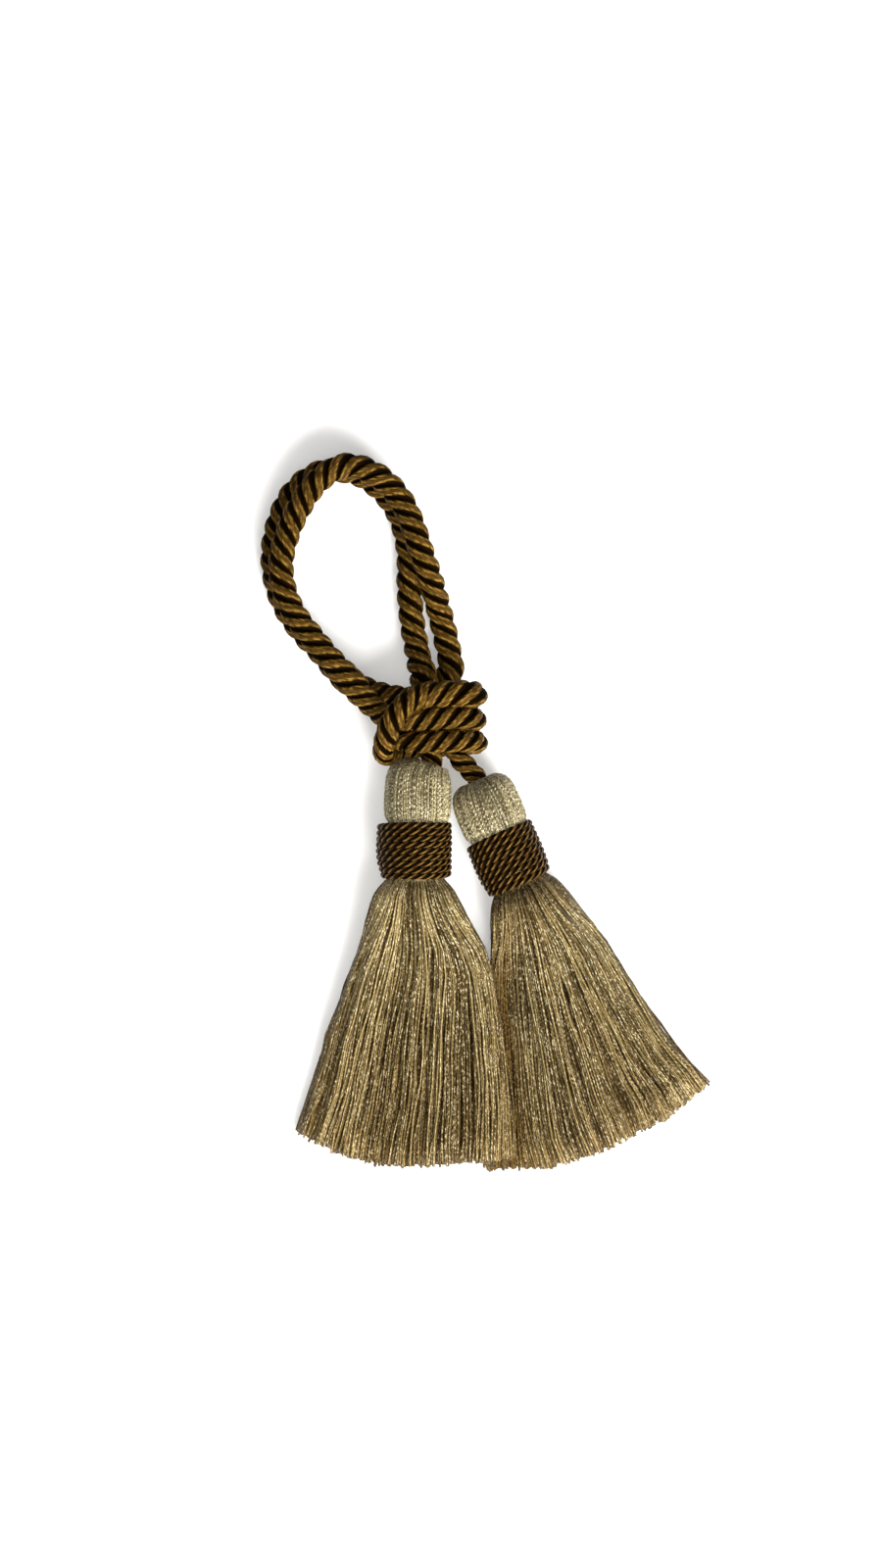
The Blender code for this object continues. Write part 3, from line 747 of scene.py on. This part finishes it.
def head_core(tassel):
    """The threads' inner layers as one closed body, from the socket to the skirt."""
    along, radius, share = head_profile(HEAD_PROFILE[1:-2], CORE_STEP)
    slopes = tangents_of(np.stack([along, radius], axis=1))
    neck = np.array([NECK_MIDDLE, NECK_END])
    along = np.concatenate([along + CORE_DEPTH * slopes[:, 1], neck])[::-1, None]
    radius = np.concatenate([radius - CORE_DEPTH * slopes[:, 0], neck_radius_at(tassel, neck) - CORE_DEPTH])
    radius = radius[::-1, None]
    shift = np.concatenate([share, [0.0, 0.0]])[::-1, None] * tassel["socket_shift"]
    angles = -2 * np.pi * np.arange(CORE_CORNERS) / CORE_CORNERS
    radius = radius - crease_depth(tassel, along, angles)
    across = shift + radius * np.cos(angles)
    dropped = along + crown_drop(tassel, along, across)
    points = to_world(tassel, across, dropped, AXIS_HEIGHT + radius * np.sin(angles))[None]
    return {
        "points": points,
        "along": distances_along(points.mean(axis=2)),
        "crest": np.zeros(points.shape[:3]),
        "furrows": np.zeros(points.shape[:3], dtype=bool),
    }


# Mesh rings along a thread of usual length, as millimetres below the neck.
STATIONS = (-3.0, -0.3, 0.8, 2.0, 3.6, 6.0, 10.0, 15.0, 20.5, 26.0, 32.0, 38.0, 44.0, 50.0, 56.0, 62.0)
SKIRT_LENGTH = 62.0 * MM
SKIRT_EDGE = 1.03  # how far a thread may lie from the skirt's middle, as a share of half its width
SKIRT_TOP = 1.15  # how far above its middle, as a share of half its thickness
THREAD_LENGTHS = (-0.45 * MM, 0.4 * MM)  # past the hem's line
PINCHED_THREAD = 0.68  # a thread's diameter where the binding pinches it, as a share of its usual one
SWELLING = 9.0 * MM  # length over which it swells again

# Threads gather into locks, which are slimmer across the skirt than through it.
LOCK_SLIMNESS = 5.0
LOCK_PULL = 0.22  # how far a thread is drawn to the middle of its lock
LOCK_PULL_RAMP = 1.3  # above 1, the pull is full before the hem
LOCK_DEPTH_PULL = 0.6  # the same pull through the thickness, as a share of the one across
LOCK_SINK = 0.16  # how much deeper or higher a lock lies, as a share of half the thickness
SINK_START = 0.4  # share of that just below the neck
LOCK_LENGTHS = 0.3 * MM  # how unevenly the locks are cut
LOCK_DRIFT = 0.014  # sideways, as a share of half the skirt's width at the hem
LOCK_WANDER = 0.25 * MM
LOCK_WAVES = (30.0 * MM, 60.0 * MM)  # shortest and longest wave along a lock

THREAD_DRIFT = 0.016
THREAD_WANDER = 0.26 * MM
THREAD_HEAVE = 0.16 * MM
THREAD_WAVES = (14.0 * MM, 34.0 * MM)
LOOSENING = 15.0 * MM  # length below the neck over which the waves set in
STRAY_SHARE = 0.06  # of the threads, which leave their locks
STRAY_DRIFT = 0.07
# A thread's flanks lie in its neighbours' shade, painted on as darker colour, and its back and face stand
# out.
RIDGES = (0.35, 1.0, 0.35, 1.0)


def wandering(random, down, count, reach, waves):
    """Gentle waves along the threads, each with its own length and start."""
    wavelengths = random.uniform(*waves, (count, 1))
    return reach * np.sin(2 * np.pi * down / wavelengths + random.uniform(0, 2 * np.pi, (count, 1)))


def layer_heights(tassel, a, full):
    """The skirt's underside, its top and how far it is shaded, at a share of half its width."""
    inner = a * tassel["inner_side"]
    thickness = full * (EDGE_SHARE + (1 - EDGE_SHARE) * np.sqrt(np.clip(1 - a * a, 0, 1)))
    if tassel["crosses_over"]:
        low = CROSSING_LIFT * ease((inner - CROSSING_START) / CROSSING_RAMP)
        return low, thickness + low / 2, 0.0
    tucked = ease((inner - TUCK_START) / TUCK_RAMP)
    shaded = TUCKED_SHADE * ease((inner - TUCKED_SHADE_START) / TUCKED_SHADE_RAMP)
    return 0.0, thickness + (TUCKED_HEIGHT - thickness) * tucked, shaded


def skirt_threads(tassel, settings, random):
    """Loose threads from the neck to the hem, gathered into locks that lie over each other.

    a and b are a thread's places across and through the bundle, from -1 to 1.
    """
    count = settings.skirt_threads
    a, b = random.uniform(-1, 1, (2, count, 1))
    lock_a, lock_b = random.uniform(-1, 1, (2, settings.locks))
    lock = np.argmin(((a - lock_a) * LOCK_SLIMNESS) ** 2 + (b - lock_b) ** 2, axis=1)
    drift = random.normal(0, LOCK_DRIFT, settings.locks)[lock][:, None]
    sink = random.normal(0, LOCK_SINK, settings.locks)[lock][:, None]
    longer = random.normal(0, LOCK_LENGTHS, settings.locks)[lock][:, None]
    own = random.normal(0, THREAD_DRIFT, (count, 1))
    stray = random.random((count, 1)) < STRAY_SHARE
    own = own + stray * random.normal(0, STRAY_DRIFT, (count, 1))
    longer = longer + random.uniform(*THREAD_LENGTHS, (count, 1))
    hem = np.interp(a, HEM_PLACES, tassel["hem"]) + longer
    down = np.array(STATIONS) * MM * hem / SKIRT_LENGTH
    share = np.clip(down / hem, 0, 1)
    pull = LOCK_PULL * ease(share * LOCK_PULL_RAMP)
    across_share = a + pull * (lock_a[lock][:, None] - a) + drift * share**2 + own * share
    across_share = np.clip(across_share, -SKIRT_EDGE, SKIRT_EDGE)
    depth_share = b + pull * LOCK_DEPTH_PULL * (lock_b[lock][:, None] - b)
    depth_share = np.clip(depth_share + sink * (SINK_START + (1 - SINK_START) * share), -1, SKIRT_TOP)

    # The round part maps the square of a and b on to a disc, and the flat part on to a slab.
    left = read_table(tassel["edges"], down, 1)
    right = read_table(tassel["edges"], down, 2)
    round_x = (left + right) / 2 + (right - left) / 2 * across_share * np.sqrt(1 - b * b / 2)
    round_z = AXIS_HEIGHT + read_table(SHOULDER_HEIGHTS, down) * b * np.sqrt(1 - a * a / 2)
    flat_x = left + (right - left) * (across_share + 1) / 2
    full = read_table(SKIRT_HEIGHTS, down)
    low, high, shaded = layer_heights(tassel, np.clip(across_share, -1, 1), full)
    flat_z = low + (high - low) * (depth_share + 1) / 2
    flattened = ease((down - ROUND_UNTIL) / (FLAT_FROM - ROUND_UNTIL))
    across = round_x + (flat_x - round_x) * flattened
    height = round_z + (flat_z - round_z) * flattened

    level = np.array(STATIONS) * MM
    loose = ease(down / LOOSENING)
    wander = wandering(random, level, settings.locks, LOCK_WANDER, LOCK_WAVES)[lock]
    wander = wander + wandering(random, level, count, THREAD_WANDER, THREAD_WAVES)
    across = across + loose * wander
    height = height + loose * wandering(random, level, count, THREAD_HEAVE, THREAD_WAVES)
    swelling = ease(down / SWELLING)
    radii = settings.thread / 2 * (PINCHED_THREAD + (1 - PINCHED_THREAD) * swelling)
    height = np.maximum(height, radii + FLOOR_CLEARANCE)
    paths = to_world(tassel, across, NECK_END + down, height)

    # Painted shade: threads that lie deep in the bundle are drawn darker, and the disc's radius or the
    # slab's height says how deep.  Tucked threads, the hem and the threads just below the binding get
    # painted shade too.
    skirt_unshaded = np.sqrt(a * a + b * b - a * a * b * b)
    skirt_unshaded = skirt_unshaded + (np.clip(0.5 + 0.5 * depth_share, 0, 1) - skirt_unshaded) * flattened
    skirt_unshaded = skirt_unshaded * (1 - shaded * flattened) * (1 - HEM_SHADE * ease(share))
    skirt_unshaded = skirt_unshaded * (1 - tassel["neck_shade"] * (1 - ease(down / NECK_SHADE_LENGTH)))
    crest = skirt_unshaded[..., None] * np.array(RIDGES)
    return sweep(paths, radii, len(RIDGES), crest=crest)


# ---------------------------------------------------------------- bindings

CORD_PLIES = 3
CORD_CORNERS = 9
CORD_ALLOWANCE = 1.15  # a turn of the cord is longer than the neck is round
TUCK_TURNS = 0.12
TUCK_DEPTH = 1.0 * MM
NECK_SHIFT_RAMP = 6.0 * MM
PLY_OFFSET = 0.48  # distance of a ply's middle from the cord's, as a share of the cord's radius
PLY_FILL = 0.52  # a ply's radius as the same share


def binding_plies(tassel, settings):
    """A three-ply cord wound closely round the neck, with its ends tucked under."""
    radius = settings.cord / 2
    around = 2 * np.pi * neck_radius_at(tassel, NECK_MIDDLE)
    rings = int(settings.turns * around * CORD_ALLOWANCE / settings.ring_spacing)
    turn = np.linspace(0.0, settings.turns, rings)
    along = BINDING_START + radius + (BINDING_END - BINDING_START - 2 * radius) * turn / settings.turns
    ends = np.minimum(turn, settings.turns - turn)
    tuck = TUCK_DEPTH * (1 - ease(ends / TUCK_TURNS))
    reach = neck_radius_at(tassel, along) + BINDING_SEAT + radius - tuck
    angle = 2 * np.pi * turn - np.pi / 2
    middle = (BINDING_START + BINDING_END) / 2
    along = middle + (along - middle) * (1 + BINDING_BOW * np.maximum(np.sin(angle), 0.0))
    height = np.maximum(AXIS_HEIGHT + reach * np.sin(angle), radius + FLOOR_CLEARANCE)
    shift = tassel["neck_shift"] * ease((BINDING_END - along) / NECK_SHIFT_RAMP)
    path = to_world(tassel, shift + reach * np.cos(angle), along, height)
    turns = -2 * np.pi * distances_along(path) / settings.twist
    plies, out = wound_plies(path, CORD_PLIES, turns, radius * PLY_OFFSET)
    return sweep(plies, radius * PLY_FILL, CORD_CORNERS, sides=out)


# ---------------------------------------------------------------- materials

MATH = "ShaderNodeMath"
RANGE = "ShaderNodeMapRange"
MIX = "ShaderNodeMix"
# Where a Mix node keeps the sockets of a colour mix.
SHARE, UNDER, OVER, MIXED = 0, 6, 7, 2
PHASES = 7.0  # the windings of two threads start up to so many crests apart


def add_node(tree, kind, inputs, **settings):
    """The outputs of a new shader node, whose inputs are numbers, colours or other nodes' outputs."""
    made = tree.nodes.new(kind)
    for name, value in settings.items():
        setattr(made, name, value)
    for key, value in inputs.items():
        if isinstance(value, bpy.types.NodeSocket):
            tree.links.new(value, made.inputs[key])
        else:
            made.inputs[key].default_value = value
    return made.outputs


def new_material(name, shader_values):
    """A material whose Principled shader has its constant values set on its own sockets."""
    material = bpy.data.materials.new(name)
    material.use_nodes = True
    tree = material.node_tree
    shader = tree.nodes["Principled BSDF"]
    for key, value in shader_values.items():
        shader.inputs[key].default_value = value
    return material, tree, shader


def yarn_places(tree):
    """Outputs for millimetres along a thread, the place round it, and a random value for each thread."""
    place = add_node(tree, "ShaderNodeUVMap", {}, uv_map="yarn")["UV"]
    split = add_node(tree, "ShaderNodeSeparateXYZ", {0: place})
    thread = add_node(tree, MATH, {0: split["Y"]}, operation="FLOOR")[0]
    chance = add_node(tree, "ShaderNodeTexWhiteNoise", {"W": thread}, noise_dimensions="1D")["Value"]
    return split["X"], split["Y"], chance


def crest_of(tree, low, high):
    """How far the surface stands out of its bundle, as 0 at the low value and 1 at the high one."""
    # The crest value also carries the painted shade of the heads and skirts.
    crest = add_node(tree, "ShaderNodeAttribute", {}, attribute_name="crest")["Fac"]
    return add_node(tree, RANGE, {"Value": crest, "From Min": low, "From Max": high})[0]


def stripes(tree, along, around, chance, pitch_mm, count):
    """A wave from 0 to 1 that winds round a thread: count crests round it, one turn every pitch."""
    place = add_node(tree, MATH, {0: chance, 1: PHASES}, operation="MULTIPLY")[0]
    per_mm = count / pitch_mm
    place = add_node(tree, MATH, {0: along, 1: per_mm, 2: place}, operation="MULTIPLY_ADD")[0]
    place = add_node(tree, MATH, {0: around, 1: count, 2: place}, operation="MULTIPLY_ADD")[0]
    place = add_node(tree, MATH, {0: place, 1: 2 * math.pi}, operation="MULTIPLY")[0]
    wave = add_node(tree, MATH, {0: place}, operation="SINE")[0]
    return add_node(tree, MATH, {0: wave, 1: 0.5, 2: 0.5}, operation="MULTIPLY_ADD")[0]


def fibres(tree, along, around, length_mm, across_count):
    """Noise from 0 to 1, drawn out to patches of a length along a thread and a number round it."""
    lengthwise = add_node(tree, MATH, {0: along, 1: 1 / length_mm}, operation="MULTIPLY")[0]
    crosswise = add_node(tree, MATH, {0: around, 1: across_count}, operation="MULTIPLY")[0]
    place = add_node(tree, "ShaderNodeCombineXYZ", {"X": lengthwise, "Y": crosswise})[0]
    noise = {"Vector": place, "Scale": 1.0, "Detail": 2.0, "Roughness": 0.6}
    return add_node(tree, "ShaderNodeTexNoise", noise)["Fac"]


def tinted(tree, body, tint, pattern, low, high, blend="MIX"):
    """A tint laid over the body: by the low share where the pattern is 0, and the high one where it is 1."""
    share = add_node(tree, RANGE, {"Value": pattern, "To Min": low, "To Max": high})[0]
    colours = {SHARE: share, UNDER: body, OVER: tint}
    return add_node(tree, MIX, colours, data_type="RGBA", blend_type=blend)[MIXED]


def with_glints(tree, body, glint, crest, pattern, low, high):
    """Glints where the crests meet the pattern's peaks, which begin at the low value."""
    peaks = add_node(tree, RANGE, {"Value": pattern, "From Min": low, "From Max": high})[0]
    share = add_node(tree, MATH, {0: crest, 1: peaks}, operation="MULTIPLY")[0]
    return add_node(tree, MIX, {SHARE: share, UNDER: body, OVER: glint}, data_type="RGBA")[MIXED]


def finish_surface(tree, shader, body, relief, roughness=None):
    """Lead a colour, a relief and, where it varies, a roughness into the shader."""
    tree.links.new(body, shader.inputs["Base Color"])
    tree.links.new(add_node(tree, "ShaderNodeBump", relief)[0], shader.inputs["Normal"])
    if roughness:
        tree.links.new(add_node(tree, RANGE, roughness)[0], shader.inputs["Roughness"])


def silk_thread(settings, twisted):
    """Degummed silk, reeled and plied in twos: soft lustre, with a small glint on every crest of the twist.

    Threads of one dye lot differ a little, so each has its own shade, which drifts along it in runs of
    about 12 mm.  Where the mesh itself is twisted, the crests are read from it, and elsewhere they are
    drawn.  Filaments are too fine to show, so their glints are drawn coarser, as flecks 0.7 mm long.
    The glints are painted highlights, and the furrows, the threads' flanks and the threads deep in a
    skirt are darkened by painted shade.
    """
    material, tree, shader = new_material(
        "silk_thread_folded" if twisted else "silk_thread_loose",
        {
            "IOR": 1.54,
            "Metallic": 0.0,
            "Specular IOR Level": 0.6 if twisted else 0.2,
            "Specular Tint": linear("#FFF4DA") if twisted else linear("#EED9A0"),
            "Sheen Weight": 0.15 if twisted else 0.02,
            "Sheen Roughness": 0.35,
            "Sheen Tint": linear("#F4F4E2"),
        },
    )
    along, around, chance = yarn_places(tree)
    fibre = fibres(tree, along, around, length_mm=12.0, across_count=4.0)
    fleck = fibres(tree, along, around, length_mm=0.7, across_count=2.0)
    if twisted:
        crest = crest_of(tree, 0.0, 0.22)
        shade, light, furrow = settings.head_shade, settings.head_light, 0.4
    else:
        crest = stripes(tree, along, around, chance, settings.twist / MM, 2)
        shade, light, furrow = settings.shade, settings.light, 0.25
    body = add_node(tree, MIX, {SHARE: chance, UNDER: shade, OVER: light}, data_type="RGBA")[MIXED]
    body = tinted(tree, body, settings.shade, fibre, low=0.0, high=0.2)
    # Painted shade: the twist's furrows and the threads' flanks, with the heads' crease and crown, are
    # darker.
    body = tinted(tree, body, linear("#4E3814"), crest, low=furrow, high=0.0, blend="MULTIPLY")
    # Painted highlights: flecks of the glint colour, strongest on the crests.
    lit = add_node(tree, RANGE, {"Value": crest, "To Min": 0.4, "To Max": 1.0})[0]
    body = with_glints(tree, body, settings.glint, lit, fleck, low=0.51, high=0.66)
    # Painted shade: skirt threads deep in the bundle, tucked, near the hem and below the binding are darker.
    if not twisted:
        outer = crest_of(tree, 0.35, 0.95)
        body = tinted(tree, body, linear("#71591F"), outer, low=0.95, high=0.0, blend="MULTIPLY")
    height = add_node(tree, MATH, {0: crest, 1: fleck}, operation="ADD")[0]
    relief = {"Height": height, "Strength": 1.0, "Distance": 0.09 * MM}
    finish_surface(tree, shader, body, relief, {"Value": fibre, "To Min": 0.18, "To Max": 0.42})
    return material


def rope_yarn(settings):
    """Spun viscose and silk yarn, dyed bronze and laid in plies: gilt glints beside near-black furrows.

    Fibres run with the yarns.  They are drawn as one streak to a yarn, since single ones would not show.
    The gilt glints on the plies' shoulders are painted highlights, and the near-black furrows are painted
    shade.
    """
    material, tree, shader = new_material(
        "viscose_rope_yarn_bronze",
        {
            "IOR": 1.5,
            "Metallic": 0.0,
            "Specular IOR Level": 0.05,
            "Specular Tint": linear("#E0B45C"),
        },
    )
    along, around, _ = yarn_places(tree)
    fibre = fibres(tree, along, around, length_mm=3.0, across_count=settings.yarns)
    fleck = fibres(tree, along, around, length_mm=1.4, across_count=settings.yarns)
    crest = crest_of(tree, 0.81, 0.93)
    colours = {SHARE: fibre, UNDER: settings.shade, OVER: settings.light}
    body = add_node(tree, MIX, colours, data_type="RGBA")[MIXED]
    # Painted highlights: flecks of the glint colour on the plies' shoulders, beside the furrows.
    shoulders = crest_of(tree, 1.0, 0.92)
    body = with_glints(tree, body, settings.glint, shoulders, fleck, low=0.42, high=0.62)
    # Painted shade: near-black in the furrows between the plies.
    colours = {SHARE: crest, UNDER: linear("#080300"), OVER: body}
    body = add_node(tree, MIX, colours, data_type="RGBA")[MIXED]
    height = add_node(tree, MATH, {0: fibre, 1: fleck}, operation="ADD")[0]
    relief = {"Height": height, "Strength": 0.9, "Distance": 0.12 * MM}
    finish_surface(tree, shader, body, relief, {"Value": crest, "To Min": 0.85, "To Max": 0.5})
    return material


def binding_cord(settings):
    """Three-ply viscose cord, dyed dark brown and wound tight: slanting glints over near-black furrows.

    Its fibres are drawn as eight streaks round a ply, coarser than real ones, so that they show.
    The glints are the lighter colour painted on the ridges as highlights, and the near-black furrows are
    painted shade.
    """
    material, tree, shader = new_material(
        "three_ply_binding_cord_brown",
        {
            "IOR": 1.5,
            "Metallic": 0.0,
            "Specular IOR Level": 0.08,
            "Specular Tint": linear("#D9B070"),
        },
    )
    along, around, _ = yarn_places(tree)
    fibre = fibres(tree, along, around, length_mm=0.9, across_count=8.0)
    crest = crest_of(tree, 0.8, 0.94)
    # Painted highlights: the lighter colour where the fibre pattern peaks on the plies' ridges.
    ridges = crest_of(tree, 0.88, 1.0)
    body = with_glints(tree, settings.shade, settings.light, ridges, fibre, low=0.4, high=0.66)
    # Painted shade: near-black in the furrows between the plies.
    colours = {SHARE: crest, UNDER: linear("#050200"), OVER: body}
    body = add_node(tree, MIX, colours, data_type="RGBA")[MIXED]
    relief = {"Height": fibre, "Strength": 0.8, "Distance": 0.07 * MM}
    finish_surface(tree, shader, body, relief, {"Value": crest, "To Min": 0.8, "To Max": 0.36})
    return material


def table_top(settings):
    """Matt painted board: an even pale ground with an eggshell tooth, drawn coarse enough to show."""
    material, tree, shader = new_material(
        "matt_painted_board", {"IOR": 1.5, "Metallic": 0.0, "Roughness": 0.8}
    )
    place = add_node(tree, "ShaderNodeTexCoord", {})["Object"]
    noise = {"Vector": place, "Scale": TEETH_PER_METRE, "Detail": 2.0}
    tooth = add_node(tree, "ShaderNodeTexNoise", noise)["Fac"]
    body = tinted(tree, settings.table, linear("#E6E3DC"), tooth, low=0.0, high=0.08)
    relief = {"Height": tooth, "Strength": 0.1, "Distance": 0.05 * MM}
    finish_surface(tree, shader, body, relief)
    return material


# ---------------------------------------------------------------- stage

SENSOR = 36.0  # long side of the camera's sensor, in millimetres
VIEW_CENTRE = (-13.8 * MM, 42.5 * MM, 8.0 * MM)
TABLE_HALF = 0.9
TEETH_PER_METRE = 900.0  # of the table top's tooth, so that each is about 1.1 mm wide
# The low lamp lights the plies' flanks, and casts no shadow so that the table stays even.
LAMPS = (  # name, place, size across in metres, settings' power, whether it casts a shadow
    ("key_lamp", (0.40, -0.60, 0.74), 0.60, "key_power", True),
    ("fill_lamp", (-0.20, -0.10, 0.95), 0.90, "fill_power", True),
    ("raking_lamp", (0.50, -0.80, 0.30), 0.40, "raking_power", False),
)


def aim(lamp, target):
    """Turn a lamp so that it shines at a point."""
    away = np.array(lamp.location) - np.array(target)
    tilt = math.atan2(math.hypot(away[0], away[1]), away[2])
    lamp.rotation_euler = (tilt, 0.0, math.atan2(away[0], -away[1]))


def make_camera(settings):
    data = bpy.data.cameras.new("camera")
    data.lens = settings.lens
    data.sensor_width = SENSOR
    camera = bpy.data.objects.new("camera", data)
    distance = settings.view_height * settings.lens / SENSOR
    camera.location = (VIEW_CENTRE[0], VIEW_CENTRE[1], VIEW_CENTRE[2] + distance)
    bpy.context.scene.collection.objects.link(camera)
    bpy.context.scene.camera = camera


def make_lamps(settings):
    for name, place, size, setting, shadow in LAMPS:
        data = bpy.data.lights.new(name, "AREA")
        data.size = size
        data.energy = getattr(settings, setting)
        data.use_shadow = shadow
        lamp = bpy.data.objects.new(name, data)
        lamp.location = place
        aim(lamp, VIEW_CENTRE)
        bpy.context.scene.collection.objects.link(lamp)


def make_room(settings):
    world = bpy.data.worlds.new("room")
    world.use_nodes = True
    light = world.node_tree.nodes["Background"]
    light.inputs["Color"].default_value = linear("#FBFCFF")
    light.inputs["Strength"].default_value = settings.room_light
    bpy.context.scene.world = world
    bpy.context.scene.view_settings.view_transform = "Standard"


def make_table(settings):
    corners = [(x * TABLE_HALF, y * TABLE_HALF, 0.0) for x, y in ((-1, -1), (1, -1), (1, 1), (-1, 1))]
    mesh = bpy.data.meshes.new("table_top")
    mesh.from_pydata(corners, [], [(0, 1, 2, 3)])
    mesh.materials.append(table_top(settings))
    table = bpy.data.objects.new("table_top", mesh)
    bpy.context.scene.collection.objects.link(table)


# ---------------------------------------------------------------- operators

class TASSEL_OT_stage(bpy.types.Operator):
    """Make the camera, the lamps and the table top"""

    bl_idname = "tassel.stage"
    bl_label = "Stage"

    def execute(self, context):
        settings = context.scene.tassel_stage
        make_camera(settings)
        make_lamps(settings)
        make_room(settings)
        make_table(settings)
        return {"FINISHED"}


class TASSEL_OT_rope(bpy.types.Operator):
    """Lay the three plies of the rope along its knotted route"""

    bl_idname = "tassel.rope"
    bl_label = "Rope"

    def execute(self, context):
        settings = context.scene.tassel_rope
        path, plies = rope_plies(settings)
        piece = make_piece("twisted_rope", [plies], rope_yarn(settings), ["rope"])
        return {"FINISHED"}


class TASSEL_OT_heads(bpy.types.Operator):
    """Fold the threads of both heads over their tops"""

    bl_idname = "tassel.heads"
    bl_label = "Heads"

    def execute(self, context):
        settings = context.scene.tassel_yarn
        material = silk_thread(settings, twisted=True)
        for side, tassel in TASSELS.items():
            random = np.random.default_rng(tassel["seed"])
            parts = [head_threads(tassel, settings, random), head_core(tassel)]
            make_piece(f"{side}_head", parts, material, [f"{side}_tassel"])
        return {"FINISHED"}


class TASSEL_OT_skirts(bpy.types.Operator):
    """Spread the loose threads of both skirts"""

    bl_idname = "tassel.skirts"
    bl_label = "Skirts"

    def execute(self, context):
        settings = context.scene.tassel_yarn
        material = silk_thread(settings, twisted=False)
        for side, tassel in TASSELS.items():
            random = np.random.default_rng(tassel["seed"] + 1)
            part = skirt_threads(tassel, settings, random)
            make_piece(f"{side}_skirt", [part], material, [f"{side}_tassel"])
        return {"FINISHED"}


class TASSEL_OT_bindings(bpy.types.Operator):
    """Wind the three-ply cord round both necks"""

    bl_idname = "tassel.bindings"
    bl_label = "Bindings"

    def execute(self, context):
        settings = context.scene.tassel_binding
        material = binding_cord(settings)
        for side, tassel in TASSELS.items():
            part = binding_plies(tassel, settings)
            make_piece(f"{side}_neck_cord", [part], material, [f"{side}_binding"])
        return {"FINISHED"}


class TASSEL_PT_sidebar(bpy.types.Panel):
    """Sizes, colours and the steps that build the tassel"""

    bl_idname = "TASSEL_PT_sidebar"
    bl_label = "Silk Key Tassel"
    bl_space_type = "VIEW_3D"
    bl_region_type = "UI"
    bl_category = "Tassel"

    def draw(self, context):
        scene = context.scene
        for group, steps in (
            (scene.tassel_stage, ("stage",)),
            (scene.tassel_rope, ("rope",)),
            (scene.tassel_yarn, ("heads", "skirts")),
            (scene.tassel_binding, ("bindings",)),
        ):
            box = self.layout.box()
            for name in group.__annotations__:
                box.prop(group, name)
            for step in steps:
                box.operator(f"tassel.{step}")


GROUPS = {
    "tassel_stage": StageSettings,
    "tassel_rope": RopeSettings,
    "tassel_yarn": TasselSettings,
    "tassel_binding": BindingSettings,
}
CLASSES = (
    *GROUPS.values(),
    TASSEL_OT_stage,
    TASSEL_OT_rope,
    TASSEL_OT_heads,
    TASSEL_OT_skirts,
    TASSEL_OT_bindings,
    TASSEL_PT_sidebar,
)


def register():
    for item in CLASSES:
        bpy.utils.register_class(item)
    for name, group in GROUPS.items():
        setattr(bpy.types.Scene, name, bpy.props.PointerProperty(type=group))


def unregister():
    for name in GROUPS:
        delattr(bpy.types.Scene, name)
    for item in reversed(CLASSES):
        bpy.utils.unregister_class(item)


def main():
    register()
    bpy.ops.tassel.stage()
    bpy.ops.tassel.rope()
    bpy.ops.tassel.heads()
    bpy.ops.tassel.bindings()
    bpy.ops.tassel.skirts()


if __name__ == "__main__":
    main()
